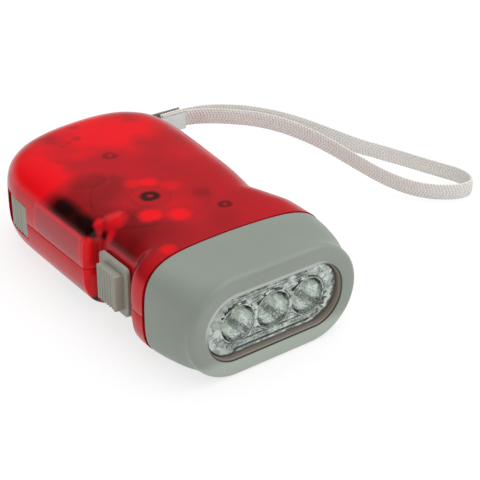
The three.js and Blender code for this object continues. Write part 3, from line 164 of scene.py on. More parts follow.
def roundedRect(wide, high, corner, midX=0, midY=0, cornerSteps=12):
    # four straight sides and four quarter circles, from the lower right corner round to the left
    turn = np.linspace(0, pi / 2, cornerSteps)
    corners = [(1, -1, -pi / 2), (1, 1, 0), (-1, 1, pi / 2), (-1, -1, pi)]
    points = []
    for sideX, sideY, start in corners:
        cx = midX + sideX * (wide / 2 - corner)
        cy = midY + sideY * (high / 2 - corner)
        points.append(np.column_stack([cx + corner * np.cos(start + turn),
                                       cy + corner * np.sin(start + turn)]))
    return np.concatenate(points)


def withModifiers(piece):
    # keeps what the modifiers make of a piece as plain mesh
    graph = bpy.context.evaluated_depsgraph_get()
    mesh = bpy.data.meshes.new_from_object(piece.evaluated_get(graph))
    piece.modifiers.clear()
    piece.data = mesh
    return piece


def combine(piece, other, operation="DIFFERENCE", smoothAngle=35):
    # cuts away another solid, joins it or keeps what both share, and deletes the other
    modifier = piece.modifiers.new("cut", "BOOLEAN")
    modifier.operation = operation
    modifier.solver = "EXACT"
    modifier.object = other
    withModifiers(piece)
    bpy.data.objects.remove(other)
    shade(piece, smoothAngle)
    return piece


def catmullRom(points, steps):
    # a smooth curve through the points, with the same number of steps between each two
    points = np.asarray(points, float)
    before = np.vstack([points[:1], points[:-1]])[:-1]
    start, end = points[:-1], points[1:]
    after = np.vstack([points[1:], points[-1:]])[1:]
    t = (np.arange(steps) / steps)[None, :, None]
    p0, p1, p2, p3 = (p[:, None, :] for p in (before, start, end, after))
    v0, v1 = (p2 - p0) / 2, (p3 - p1) / 2
    curve = ((2 * p1 - 2 * p2 + v0 + v1) * t ** 3
             + (-3 * p1 + 3 * p2 - 2 * v0 - v1) * t ** 2 + v0 * t + p1)
    return np.vstack([curve.reshape(-1, points.shape[1]), points[-1:]])


def bevelled(piece, width, segments=3, angle=40):
    # rounds the edges sharper than an angle
    modifier = piece.modifiers.new("round", "BEVEL")
    modifier.width = width * 0.001
    modifier.segments = segments
    modifier.limit_method = "ANGLE"
    modifier.angle_limit = radians(angle)
    return withModifiers(piece)


def evenly(points, step=1.0, count=None):
    # the same closed outline with points at an even distance, or with a given number of points
    closed = np.vstack([points, points[:1]])
    closed = closed[np.append(True, np.hypot(*np.diff(closed, axis=0).T) > 1e-6)]
    along = np.append(0, np.cumsum(np.hypot(*np.diff(closed, axis=0).T)))
    count = count or int(along[-1] / step)
    at = np.arange(count) * along[-1] / count
    return np.column_stack([np.interp(at, along, closed[:, 0]), np.interp(at, along, closed[:, 1])])


def signedPower(values, power):
    # each value's size to a power, with the value's sign
    return np.sign(values) * np.abs(values) ** power


def turning(angle):
    # what turns plan points by an angle
    return np.array([(cos(angle), -sin(angle)), (sin(angle), cos(angle))])


# strap

strap = dict(wide=5.15, thick=1.15, lift=0.1, step=0.28, sides=36, edgePower=2.6,
             ribLong=1.0, ribDeep=0.03, ribLean=2.2, ribPower=0.5,
             edgeDeep=0.16, edgeLoopPower=6)  # the small loops along both edges
strapRoute = [
    (31.5, 96.59, 19.2), (39.5, 96.34, 19.2), (45.6, 93.6, 19.2), (52.7, 90, 18.4), (59.8, 85.9, 17.0),
    (66, 81.1, 15.0), (71.4, 75.3, 12.4), (75.5, 68.2, 9.7), (78.7, 59.9, 7.0), (81.3, 52.6, 5.0),
    (84, 45.9, 3.8), (87.4, 40.2, 3.2), (91.7, 35.6, 3.1), (96.7, 33, 3.1), (100.9, 33.3, 3.1),
    (103.1, 36.4, 3.1), (103.3, 41, 3.1), (101.6, 46.1, 3.2), (98.8, 52.3, 3.6), (95.1, 58.1, 4.6),
    (90.3, 63.1, 6.2), (84.8, 67.9, 8.2), (79.3, 73.4, 10.8), (73.9, 79.3, 13.2), (67.8, 84.2, 15.6),
    (61.3, 88.7, 17.4), (54.6, 92.5, 18.6), (47.4, 95.9, 19.2), (40, 97.84, 19.2), (31.5, 98.09, 19.2),
]


def smoothRoute():
    # the route as one curve with points at an even distance, and each point's direction
    fine = catmullRom(np.array(strapRoute) + (0, 0, strap["lift"]), 40)
    along = np.append(0, np.cumsum(np.linalg.norm(np.diff(fine, axis=0), axis=1)))
    at = np.linspace(0, along[-1], int(along[-1] / strap["step"]) + 1)
    points = np.column_stack([np.interp(at, along, fine[:, axis]) for axis in range(3)])
    ahead = np.gradient(points, axis=0)
    ahead /= np.linalg.norm(ahead, axis=1)[:, None]
    return points, ahead, at


def makeStrap():
    # an oval section carried along the route with its width upright: |x| ^ p + |y| ^ p = 1, with
    # small woven ribs that lean away from the middle line and loops at both edges
    points, ahead, at = smoothRoute()
    up = np.array([0, 0, 1.0]) - ahead[:, 2:3] * ahead
    up /= np.linalg.norm(up, axis=1)[:, None]
    side = np.cross(ahead, up)
    turn = np.arange(strap["sides"]) * 2 * pi / strap["sides"]
    across = signedPower(np.cos(turn), 2 / strap["edgePower"])[None, :]
    through = signedPower(np.sin(turn), 2 / strap["edgePower"])[None, :]
    phase = 2 * pi * at[:, None] / strap["ribLong"]
    rib = strap["ribDeep"] * np.cos(phase + strap["ribLean"] * np.abs(across))
    rib = rib * signedPower(np.sin(turn), strap["ribPower"])[None, :]
    loops = strap["edgeDeep"] * np.abs(np.cos(phase / 2 + np.where(across > 0, 0, pi / 2)))
    loops = loops * np.abs(across) ** strap["edgeLoopPower"]
    wide = (strap["wide"] / 2 - strap["edgeDeep"]) * across + np.sign(across) * loops
    thick = strap["thick"] / 2 * through + rib
    rings = (points[:, None, :] + wide[..., None] * up[:, None, :]
             + thick[..., None] * side[:, None, :])
    piece = meshObject("wristStrap", *loft(rings), smoothAngle=60)
    layer = piece.data.uv_layers.new(name="weave")
    vertex = np.zeros(len(piece.data.loops), np.int32)
    piece.data.loops.foreach_get("vertex_index", vertex)
    spread = np.tile(across[0] * strap["wide"] / 2, len(at))
    along = np.repeat(at, strap["sides"])
    layer.data.foreach_set("uv", np.column_stack([spread[vertex], along[vertex]]).ravel())
    return piece, points, float(at[-1])


crimp = dict(long=16.2, wide=5.6, sheet=0.4, inside=3.3, eye=1.3, eyeEnd=pi / 4.2, neck=1.1, knee=0.6,
             shoulder=2.0, edge=0.1, turn=-0.03, z=19.2, post=(22.8, 97.6))


def crimpLine(offset):
    # half of the bent sheet's plan line at an offset from its inner face: round the post, then
    # straight
    half, eye = crimp["inside"] / 2, crimp["eye"] + offset
    turn = np.linspace(pi, crimp["eyeEnd"], 26)
    ring = np.column_stack([eye * np.cos(turn), eye * np.sin(turn)])
    bend = (crimp["eye"] + crimp["sheet"]) * crimp["neck"] + half
    knee = np.array([(bend + crimp["sheet"] - offset * crimp["knee"], half + offset)])
    straight = np.column_stack([np.linspace(bend + crimp["shoulder"], crimp["long"], 12),
                                np.full(12, half + offset)])
    return np.vstack([ring, knee, straight])


def makeCrimp():
    # both halves of the bent sheet's plan line, closed into one and pushed up to its width
    inner, outer = crimpLine(0), crimpLine(crimp["sheet"])
    flip = np.array([1, -1])
    loop = np.vstack([outer, inner[::-1], (inner * flip)[1:], (outer * flip)[::-1][:-1]])
    spin = turning(crimp["turn"])
    low, high = crimp["z"] - crimp["wide"] / 2, crimp["z"] + crimp["wide"] / 2
    plan = (loop @ spin.T + crimp["post"])[::-1]
    piece = meshObject("strapClip", *prism(plan, low, high), smoothAngle=30)
    return bevelled(piece, crimp["edge"], 2)


strapClip = makeCrimp()
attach(strapClip, "strap")
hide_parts("strap_crimp")
wristStrap, strapLine, strapLong = makeStrap()
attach(wristStrap, "strap")
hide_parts("wrist_strap")
print("strap made,", round(strapLong), "mm long")


# the outside form: its half widths as shares, at shares of the length

leverShares = [(0.255, 0.938), (0.3, 0.888), (0.335, 0.845), (0.362, 0.806), (0.385, 0.806), (0.42, 0.835),
               (0.5, 0.893), (0.6, 0.936), (0.7, 0.975), (0.78, 0.997), (0.85, 0.995), (0.91, 0.95),
               (0.952, 0.845), (0.982, 0.693), (0.996, 0.507), (1, 0.304), (0.996, 0.068)]
cornerShares = [(0.986, 0.181), (0.968, 0.417), (0.94, 0.634), (0.896, 0.82), (0.839, 0.937), (0.781, 0.989),
                (0.724, 1), (0.64, 1.002), (0.54, 1.002), (0.475, 1.001), (0.447, 1.0005)]


def slope(start, end, deep, steps=14):
    # an S-shaped run from one depth to another, level at both ends
    t = np.linspace(0, 1, steps)
    ease = t * t * (3 - 2 * t)
    return np.column_stack([-body["switchSide"] + deep[0] + (deep[1] - deep[0]) * ease,
                            start + (end - start) * t])


def bodyOutline():
    # one closed plan line: a curve through the shares round the lever's side and the tail, then the notch
    right, left, length = body["leverSide"], -body["switchSide"], body["length"]
    curve = catmullRom([(head["half"], head["taperEnd"])]
                       + [(out * right, along * length) for along, out in leverShares]
                       + [(out * left, along * length) for along, out in cornerShares], 10)
    floor = np.linspace(notch["floorBack"], notch["floorFront"], 10)[1:-1]
    front = np.linspace(-body["frontRun"], head["taperEnd"], 12)
    return evenly(np.vstack([
        np.column_stack([np.full(12, head["half"]), front])[:-1],
        curve,
        slope(notch["back"], notch["floorBack"], (0, notch["depth"])),
        np.column_stack([np.full(len(floor), left + notch["depth"]), floor]),
        slope(notch["floorFront"], notch["front"], (notch["depth"], 0)),
        np.column_stack([np.full(12, -head["half"]), front[::-1]]),
    ]), body["outlineStep"])


def inward(outline):
    # the direction square to the outline at each point, towards its inside
    ahead = np.roll(outline, -1, 0) - np.roll(outline, 1, 0)
    ahead /= np.linalg.norm(ahead, axis=1)[:, None]
    return np.column_stack([-ahead[:, 1], ahead[:, 0]])


def inset(outline, by):
    # each point moved in, without those that end up nearer to another part of the outline
    moved = outline + by * inward(outline)
    far = np.linalg.norm(moved[:, None, :] - outline[None, :, :], axis=2).min(1)
    return moved[far > by * 0.985]


def powerOn(side):
    # the underside is rounder than the top
    return body["power"] if side > 0 else body["powerBelow"]


def crown(share, side):
    # how high the pillow stands, as a share of its half thickness, at a share of the way to its edge
    part = (np.asarray(share) - body["flatShare"]) / (1 - body["flatShare"])
    return (1 - np.clip(part, 0, 1) ** powerOn(side)) ** (1 / powerOn(side))


def crownShares(count, side):
    # shares of the way to the edge that keep the rings about evenly apart on the rounding
    angle = np.linspace(0, pi / 2, count)
    part = np.cos(angle) ** (2 / powerOn(side))
    part[-1] = 0
    return body["flatShare"] + (1 - body["flatShare"]) * part


def pillowRing(outline, half, share, side):
    # each point at a share of the way from the spine line to the outline, at the crown's height there
    spineY = np.minimum(outline[:, 1], body["spineEnd"])
    x = body["spineX"] + (outline[:, 0] - body["spineX"]) * share
    y = spineY + (outline[:, 1] - spineY) * share
    return np.column_stack([x, y, np.full(len(outline), midZ + side * half * crown(share, side))])


def pillow(by, rings=22, side=0):
    # both halves of the form, or the half on one side with a flat face at the parting plane
    outline = inset(bodyOutline(), by) if by > 0 else bodyOutline()
    loops = {way: [pillowRing(outline, midZ - by, share, way) for share in crownShares(rings, way)]
             for way in (1, -1)}
    if side == 0:
        return loft(loops[-1][::-1] + loops[1][1:])
    rounding = body["partingRound"]
    edge = outline + rounding * inward(outline)
    lift = lambda ring, up: np.column_stack([ring, np.full(len(ring), midZ + side * up)])
    half = [lift(edge, 0.0), lift(outline * 0.7 + edge * 0.3, rounding * 0.35), lift(outline, rounding)]
    half += [ring for ring in loops[side] if abs(ring[0, 2] - midZ) > rounding * 1.2]
    return loft(half[::side])


def aheadOfJoint(offset):
    # everything in front of the curved joint between the head and the shells
    reach = body["leverSide"] + 4
    share = np.linspace(-1, 1, 41)
    curve = np.column_stack([share * reach, head["length"] + offset - head["jointSweep"] * share ** 2])
    return prism(np.vstack([[(-reach, -60), (reach, -60)], curve[::-1]]), -4, body["thick"] + 4)


# mechanism places, as in the solids

shafts = dict(lever=(16.8, 39.0), first=(0.0935, 74.9034), second=(-4.5, 48.5), rotor=(-14.2505, 64.1041))
screws = [(8.6, 32.0), (-23.0, 50.5), (-14.0, 95.6), (12.0, 98.0)]
lever = dict(half=8.2, start=43.6, end=90.2, depth=9, inset=0.2, wall=1.6, gap=0.45, swing=22, hub=4.2,
             bore=1.12)
latch = dict(front=75, back=85.2, windowBack=88, strip=1.5, half=4.7, gap=0.35)
thumb = dict(front=27.8, back=40.9, half=7.1, corner=1.6, blockFront=29.6, blockBack=38.4, blockHalf=4.9,
             lift=0.2, plate=1.2, proud=0.2, travel=1.8, neckLong=4, neckHalf=1.5, fit=0.3,
             wideRib=1.3, wideRibDeep=0.45, ribs=6, ribDeep=0.3, ribsIn=0.2, round=0.3, sunk=0.6,
             neckIn=2.3, gapShare=0.3)
strapSlot = dict(half=3.5, front=94.9, back=100.3, left=20.2, z=19.2)
shellInside = dict(front=3, rings=14, postsIn=0.3, post=2.4, screwPost=2.7, screwFoot=1.6,
                   pocket=2.5, pocketHigh=5.2, screwHole=1.12,
                   tops=dict(lever=22.3, first=11.5, second=21.9, rotor=22.1),
                   feet=dict(lever=5.3, first=4.9, second=8.4), platePost=(-13, 53.2, 2.1, 11.3),
                   cornerBlock=(18.2, 40, 91.65, 110))


def leverRoom():
    # the room the lever swings through: its own band, and its front end turned step by step
    outline = bodyOutline()
    deep = inset(outline, lever["depth"] + lever["gap"])
    front, back = lever["start"] - lever["gap"], lever["end"] + lever["gap"]
    low, high = midZ - lever["half"] - lever["gap"], midZ + lever["half"] + lever["gap"]
    inner = deep[(deep[:, 0] > 0) & (deep[:, 1] > front) & (deep[:, 1] < back)]
    outside = body["leverSide"] + 3
    room = np.vstack([[(outside, front), (outside, back), (inner[-1, 0], back)], inner[::-1],
                      [(inner[0, 0], front)]])
    solids = [prism(room, low, high)]
    px, py = shafts["lever"]
    edge = outline[(outline[:, 0] > 0) & (outline[:, 1] > front)][0, 0]
    waist = np.array([(px + lever["hub"] / 2, py - lever["gap"]),
                      (px + lever["hub"] + lever["gap"], py - lever["gap"]),
                      (edge + lever["gap"], front), (px, front + lever["depth"])])
    for step in range(9):
        spin = turning(-radians(lever["swing"]) * step / 8)
        spare = 0.001 * step  # so that no two of these have a face in one plane
        solids.append(prism((waist - (px, py)) @ spin.T + (px, py), low - spare, high + spare))
    return [meshObject("room", *solid) for solid in solids]


def slotAcross(half, gap, *box):
    # a cutter through the wall on the switch's side, as high as half and a gap either way
    return meshObject("slot", *boxSolid(*box, midZ - half - gap, midZ + half + gap))


def shellCutters(side):
    # the head's joint, the slots of switch and latch, and below also the screws' pockets and holes
    floor = -body["switchSide"] + notch["depth"]
    mid = (thumb["blockFront"] + thumb["blockBack"]) / 2
    cutters = [
        meshObject("ahead", *aheadOfJoint(head["jointGap"])),
        slotAcross(thumb["neckHalf"], thumb["fit"], floor - 4, floor + body["wall"] + 3,
                   mid - thumb["neckLong"] / 2 - thumb["fit"],
                   mid + thumb["neckLong"] / 2 + thumb["travel"] + thumb["fit"]),
        slotAcross(latch["half"], latch["gap"], -body["switchSide"] - 3, -18,
                   latch["front"] - latch["gap"], latch["windowBack"]),
    ]
    if side < 0:
        for place in screws:
            pocket = circle(*place, shellInside["pocket"], 40)
            hole = circle(*place, shellInside["screwHole"], 24)
            cutters += [meshObject("pocket", *prism(pocket, -2, shellInside["pocketHigh"])),
                        meshObject("hole", *prism(hole, 4, midZ + 1))]
    return cutters


def shellPosts(side):
    # posts for the shafts and screws, each from its own height to inside the shell's wall
    inside = shellInside
    if side > 0:
        parts = [(*shafts[name], inside["post"], low, body["thick"] - 1)
                 for name, low in inside["tops"].items()]
        parts += [(*place, inside["screwPost"], midZ, body["thick"] - 1) for place in screws]
    else:
        parts = [(*shafts[name], inside["post"], 1, top) for name, top in inside["feet"].items()]
        parts.append((*inside["platePost"][:3], 1, inside["platePost"][3]))
        parts += [(*place, inside["screwPost"], inside["screwFoot"], midZ) for place in screws]
    posts = [meshObject("post", *prism(circle(x, y, radius, 40), low, high))
             for x, y, radius, low, high in parts]
    if side > 0:
        posts.append(meshObject("block", *boxSolid(*inside["cornerBlock"], midZ, body["thick"])))
    return posts


def makeShell(name, side):
    # half of the pillow form, hollow, with its posts, cut for the pieces that move
    shell = meshObject(name, *pillow(0, side=side))
    hollow = meshObject("hollow", *pillow(body["wall"], rings=shellInside["rings"]))
    combine(hollow, meshObject("ahead", *aheadOfJoint(shellInside["front"])))
    combine(shell, hollow)
    for post in shellPosts(side):
        form = meshObject("form", *pillow(shellInside["postsIn"], rings=shellInside["rings"]))
        combine(post, form, "INTERSECT")
        combine(shell, post, "UNION")
    cutters = shellCutters(side) + leverRoom()
    if side > 0:
        slot = strapSlot
        cutters.append(meshObject("strapSlot", *boxSolid(slot["left"], 40, slot["front"], slot["back"],
                                                         slot["z"] - slot["half"], slot["z"] + slot["half"])))
    for cutter in cutters:
        combine(shell, cutter)
    return shell


topShell = makeShell("topShellSkin", 1)
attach(topShell, "housing")
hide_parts("top_shell")
bottomShell = makeShell("bottomShellSkin", -1)
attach(bottomShell, "housing")
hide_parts("bottom_shell")
print("shells made,", len(topShell.data.polygons), len(bottomShell.data.polygons), "faces")


# head: rings carried round the section of the wall, from the window's edge out to the joint and back

def widening(y):
    # how far the head has passed from its front section to its full one at a distance back from the front
    share = np.clip(np.asarray(y, float) / head["taperEnd"], 0, 1)
    return np.interp(share, [0, 0.16, 0.24, 0.32, 0.41, 0.5, 0.62, 0.74, 0.87, 1],
                     [0, 0, 0.13, 0.3, 0.45, 0.58, 0.74, 0.86, 0.95, 1])


# Loops round Y have their points at the same turns of each corner, then along the top and the bottom.
cornerTurn = (np.arange(60) + 0.5) / 60 * pi / 2
flatPart = 1 - (np.arange(12) + 0.5) / 12


def fourFold(quarter, below=None):
    # a quarter loop from the side up to the top, repeated in the other three quarters
    below = quarter if below is None else below
    halves = [np.vstack([part, (part * (-1, 1))[::-1]]) for part in (quarter, below)]
    return np.vstack([halves[0], (halves[1] * (1, -1))[::-1]])


def windowLoop(wide, high, corner):
    # a rounded rectangle: corners at w / 2 - c (1 - cos t), h / 2 - c (1 - sin t), then straight runs
    x = np.append(wide / 2 - corner * (1 - np.cos(cornerTurn)), (wide / 2 - corner) * flatPart)
    z = np.append(high / 2 - corner * (1 - np.sin(cornerTurn)), np.full(len(flatPart), high / 2))
    return fourFold(np.column_stack([x, z]))


def crownLoop(half, high):
    # (x' ^ power + z' ^ power) ^ (1 / power) = 1 past the flat share
    quarters = []
    for power in (powerOn(1), powerOn(-1)):
        norm = (np.cos(cornerTurn) ** power + np.sin(cornerTurn) ** power) ** (1 / power)
        part = body["flatShare"] + (1 - body["flatShare"]) * np.cos(cornerTurn) / norm
        x = np.append(half * part, half * body["flatShare"] * flatPart)
        z = np.append(high * np.sin(cornerTurn) / norm, np.full(len(flatPart), high))
        quarters.append(np.column_stack([x, z]))
    return fourFold(*quarters)


def headLoop(level, shrink):
    # the head's section at the joint's depth or ahead of it; the joint sweeps forward to the sides
    joint = head["length"] - head["jointGap"]
    ease = min(1.0, max(0.0, (level - head["rim"]) / (joint - head["rim"] - 3)))
    y = level
    for _ in range(3):
        out = widening(y)
        half = head["frontHalf"] + (head["half"] - head["frontHalf"]) * out - shrink
        grow = np.atleast_1d(half - head["frontHalf"])[:, None] * np.array([1.0, 0.0])
        front = windowLoop(2 * head["frontHalf"], 2 * (midZ - shrink), midZ - shrink)
        front = front + grow * np.clip(front / (head["frontHalf"] - midZ), -1, 1)
        full = crownLoop(1, midZ - shrink)
        full[:, 0] *= half
        loop = front + (full - front) * np.atleast_1d(out)[:, None] ** head["squarer"]
        y = level - jointDrop(loop[:, 0]) * ease
    return loop, y


def jointDrop(x):
    # a parabola: how far the joint has swept forward at a distance from the middle
    return head["jointSweep"] * (np.asarray(x) / (body["leverSide"] + 2)) ** 2


def quarterRound(radius, at):
    # how far a quarter circle of this radius has dropped at a distance from its end
    return radius - max(radius ** 2 - (radius - min(at, radius)) ** 2, 0.0) ** 0.5


def headRings():
    # from the window's rolled edge back through the chamber, and outside from the joint to the rim
    joint = head["length"] - head["jointGap"]
    ring = lambda loop, y: np.column_stack([loop[:, 0], np.broadcast_to(y, len(loop)), loop[:, 1] + midZ])
    window = lambda grow: windowLoop(head["windowWide"] + 2 * grow, head["windowHigh"] + 2 * grow,
                                     head["windowCorner"] + grow)
    rings = []
    for angle in np.linspace(0, pi / 2, 7):  # the window's front edge, rolled in
        rings.append(ring(window(head["lipRound"] * (1 - sin(angle))), head["lipRound"] * (1 - cos(angle))))
    rings.append(ring(window(0), head["lip"] - head["lipChamfer"]))
    rings.append(ring(window(head["lipChamfer"]), head["lip"]))
    wider, higher, rounder = head["chamber"]
    chamber = windowLoop(head["windowWide"] + wider, head["windowHigh"] + higher,
                         head["windowCorner"] + rounder)
    inner = crownLoop(head["half"] - head["wall"], midZ - head["wall"])
    rings += [ring(chamber, head["lip"]), ring(chamber, head["chamberBack"]),
              ring(inner, head["chamberBack"]), ring(inner, joint - jointDrop(inner[:, 0]))]
    for back in np.append([0.0, 0.1, 0.3], np.linspace(0.7, joint - head["rim"], 26)):
        rings.append(ring(*headLoop(joint - back, quarterRound(head["jointRound"], back))))
    for angle in np.linspace(0, pi / 2, 10)[1:]:  # the front rim, a quarter round
        shrink = head["rim"] * (1 - cos(angle))
        loop = windowLoop(2 * (head["frontHalf"] - shrink), 2 * (midZ - shrink), midZ - shrink)
        rings.append(ring(loop, head["rim"] * (1 - sin(angle))))
    return np.array(rings)


def torusLoft(rings):
    # rings that close on themselves in both directions
    count, around = rings.shape[:2]
    faces = gridFaces(count, around)
    last = (count - 1) * around
    column = np.arange(around)
    after = (column + 1) % around
    join = np.stack([last + column, last + after, after, column], -1)
    return rings.reshape(-1, 3), np.vstack([faces, join])


headRing = meshObject("headRing", *torusLoft(headRings()), smoothAngle=50)
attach(headRing, "housing")
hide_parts("head_bezel")
print("head made,", len(headRing.data.polygons), "faces")

# window, reflector and lamps

pane = dict(front=1.2, glass=0.7, seat=3.95, back=5.35, fit=0.15, rim=0.5, flangeWide=43.8, flangeHigh=20.4,
            flangeCorner=9.3, edge=0.2)


def standing(loop, y):
    # a loop of x and height at a distance back from the front
    return np.column_stack([loop[:, 0], np.full(len(loop), y), loop[:, 1] + midZ])


def openingLoop(by):
    # the window's own outline, drawn in by a distance
    return windowLoop(head["windowWide"] - 2 * by, head["windowHigh"] - 2 * by, head["windowCorner"] - by)


def paneSolid():
    # a clear cap that fills the opening, with a flange behind the frame
    flange = windowLoop(pane["flangeWide"], pane["flangeHigh"], pane["flangeCorner"])
    inside, outside = openingLoop(pane["fit"] + pane["rim"]), openingLoop(pane["fit"])
    return loft([standing(inside, pane["front"] + pane["glass"]), standing(inside, pane["back"]),
                 standing(flange, pane["back"]), standing(flange, pane["seat"]),
                 standing(outside, pane["seat"]), standing(outside, pane["front"] + pane["edge"]),
                 standing(openingLoop(pane["fit"] + pane["edge"]), pane["front"])])


windowPane = meshObject("windowPane", *paneSolid())
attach(windowPane, "housing")
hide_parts("window_lens")

cups = dict(spacing=10.6, mouth=4.9, throat=2.75, front=1.85, seat=5.5, back=13.0, floor=0.8, inset=0.4,
            power=2.3, lipHigh=0.3, lipWide=0.35, lipDrop=0.2,
            fieldStart=0.35, fieldRun=0.5,  # outside the cups' lips the bars and pleats set in
            bandDeep=0.36, bandPitch=1.9, endRun=1.5,
            pleats=25, pleatDeep=0.34, pleatLong=2.9, pleatFade=0.5,
            uneven=0.35, unevenTurn=3.1, unevenOut=2.3)


def zigzag(value):
    # a triangle wave: 1 at whole numbers, 0 halfway between them
    return np.abs(value % 1 - 0.5) * 2


def reflectorDepth(x, z):
    # cups deepen as 1 - (r / mouth) ^ power behind a raised lip; pleats fan out round the outer cups
    c = cups
    r = np.stack([np.hypot(x - step * c["spacing"], z) for step in (-1, 0, 1)]).min(0)
    deep = c["back"] - c["front"] - c["floor"]
    bowl = deep * (1 - (np.clip(r, c["throat"], c["mouth"]) / c["mouth"]) ** c["power"])
    lip = -c["lipHigh"] * np.exp(-((r - c["mouth"] - c["lipWide"] / 2) / c["lipWide"]) ** 2)
    field = np.clip((r - c["mouth"] - c["fieldStart"]) / c["fieldRun"], 0, 1)
    nearest = np.sign(x) * np.where(np.abs(x) > c["spacing"] / 2, c["spacing"], 0)
    angle = np.arctan2(z, x - nearest)
    ends = np.clip((np.abs(x) - c["spacing"]) / c["endRun"], 0, 1)
    fan = zigzag(angle * c["pleats"] / (2 * pi)) * c["pleatDeep"]
    fan = fan * (1 - c["uneven"] + c["uneven"] * np.sin(c["unevenTurn"] * angle + c["unevenOut"] * r))
    fan = fan * np.clip((c["mouth"] + c["pleatLong"] - r) / c["pleatFade"], 0, 1)
    bars = zigzag(np.abs(z) / c["bandPitch"]) * c["bandDeep"]
    return bowl + lip * (1 - field * c["lipDrop"]) + field * (fan * ends + bars * (1 - ends))


def reflectorSolid(around=560, across=64):
    # loops that shrink from the opening's outline to the line through the three lamps
    outline = evenly(openingLoop(cups["inset"]), count=around)
    reach = outline[:, 0].max() - outline[:, 1].max()
    spine = np.column_stack([np.clip(outline[:, 0], -reach, reach), np.zeros(around)])
    flange = evenly(windowLoop(pane["flangeWide"], pane["flangeHigh"], pane["flangeCorner"]), count=around)
    rings = [standing(flange, cups["back"]), standing(flange, cups["seat"]), standing(outline, cups["seat"])]
    for share in np.linspace(1, 0, across):
        loop = spine + (outline - spine) * share
        ring = standing(loop, cups["front"])
        ring[:, 1] += reflectorDepth(loop[:, 0], loop[:, 1])
        rings.append(ring)
    return loft(rings, capLast=False)


def closeSeams(piece, apart=0.00001):
    # joins points that lie on each other and turns the faces outwards
    work = bmesh.new()
    work.from_mesh(piece.data)
    bmesh.ops.remove_doubles(work, verts=work.verts, dist=apart)
    bmesh.ops.recalc_face_normals(work, faces=work.faces)
    work.to_mesh(piece.data)
    work.free()
    return piece


reflectorSheet = closeSeams(meshObject("reflectorSheet", *reflectorSolid(), smoothAngle=40))
shade(reflectorSheet, 40)
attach(reflectorSheet, "housing")
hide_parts("reflector")

lamp = dict(radius=2.5, flange=2.9, flangeThick=1.0, tip=6.0, base=14.3)


def turned(profile, x, sides=48):
    # a profile of radius and Y turned about the line through x along Y
    profile = np.asarray(profile, float)
    turn = np.arange(sides) * 2 * pi / sides
    radius = profile[:, 0][:, None]
    along = np.broadcast_to(profile[:, 1][:, None], (len(profile), sides))
    return loft(np.stack([x + radius * np.cos(turn), along, midZ + radius * np.sin(turn)], -1)[::-1])


def lampProfile():
    # a half round dome, r sin t by r (1 - cos t), then a neck and a flange
    angle = np.linspace(0.02, pi / 2, 12)
    dome = np.column_stack([lamp["radius"] * np.sin(angle),
                            lamp["tip"] + lamp["radius"] * (1 - np.cos(angle))])
    neck = lamp["base"] - lamp["flangeThick"]
    return np.vstack([dome, [(lamp["radius"], neck), (lamp["flange"], neck), (lamp["flange"], lamp["base"])]])


for index, step in enumerate((-1, 0, 1)):
    bulb = meshObject(f"lampBulb{index + 1}", *turned(lampProfile(), step * cups["spacing"]), smoothAngle=40)
    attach(bulb, "housing")
    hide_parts(f"led_{index + 1}")
print("window, reflector and lamps made")

# thumb switch

floorX = -body["switchSide"] + notch["depth"]


def ribbedProfile(front, back, outX, deep, count, gapShare, steps=7):
    # plan line of a ribbed face: round-topped ribs with narrow grooves between, from front to back
    pitch = (back - front) / count
    line = []
    for index in range(count):
        start = front + index * pitch + (pitch * gapShare / 2 if index else 0)
        end = front + (index + 1) * pitch - (pitch * gapShare / 2 if index + 1 < count else 0)
        t = np.linspace(0, 1, steps)
        rise = np.sin(pi * t) ** 0.45  # a low power makes the rib's top broad
        line.append(np.column_stack([outX + deep * (1 - rise), start + (end - start) * t]))
    return np.vstack(line)


def makeSwitch():
    # a plate, a ribbed block on it and a neck through the shell's slot, joined
    t = thumb
    plateIn = floorX - t["lift"]
    plateOut = plateIn - t["plate"]
    loop = roundedRect(t["back"] - t["front"], 2 * t["half"], t["corner"],
                       (t["front"] + t["back"]) / 2, midZ)
    stand = lambda x: np.column_stack([np.full(len(loop), x), loop[:, 0], loop[:, 1]])
    plate = meshObject("switchPlate", *loft([stand(plateOut), stand(plateIn)]))
    bevelled(plate, t["round"])
    outX = -body["switchSide"] - t["proud"]
    split = t["blockFront"] + t["wideRib"]
    outline = np.vstack([ribbedProfile(t["blockFront"], split, outX, t["wideRibDeep"], 1, 0),
                         ribbedProfile(split, t["blockBack"], outX + t["ribsIn"], t["ribDeep"],
                                       t["ribs"], t["gapShare"]),
                         [(plateOut + t["sunk"], t["blockBack"]), (plateOut + t["sunk"], t["blockFront"])]])
    block = meshObject("switchBlock", *prism(outline[::-1], midZ - t["blockHalf"], midZ + t["blockHalf"]))
    bevelled(block, t["round"], 3, 70)
    middleY = (t["blockFront"] + t["blockBack"]) / 2
    neck = meshObject("switchNeck", *boxSolid(plateIn - t["sunk"], floorX + body["wall"] + t["neckIn"],
                                              middleY - t["neckLong"] / 2, middleY + t["neckLong"] / 2,
                                              midZ - t["neckHalf"], midZ + t["neckHalf"]))
    combine(plate, block, "UNION")
    combine(plate, neck, "UNION")
    plate.name = "thumbSwitch"
    return plate


thumbSwitch = makeSwitch()
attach(thumbSwitch, "switch")
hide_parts("switch_thumb")

# latch

latchParts = dict(legLeft=-22.9, legThick=1.5, legFront=82.8, barLow=6.2, barThick=2.0, barWide=1.6,
                  toothLong=1.6, toothWide=1.3, toothEdge=20.3, ribDeep=0.24, ribs=5, gapShare=0.34,
                  ribsIn=0.12, sunk=0.12, padThick=2.0, footIn=0.8, spare=0.3, round=0.18)


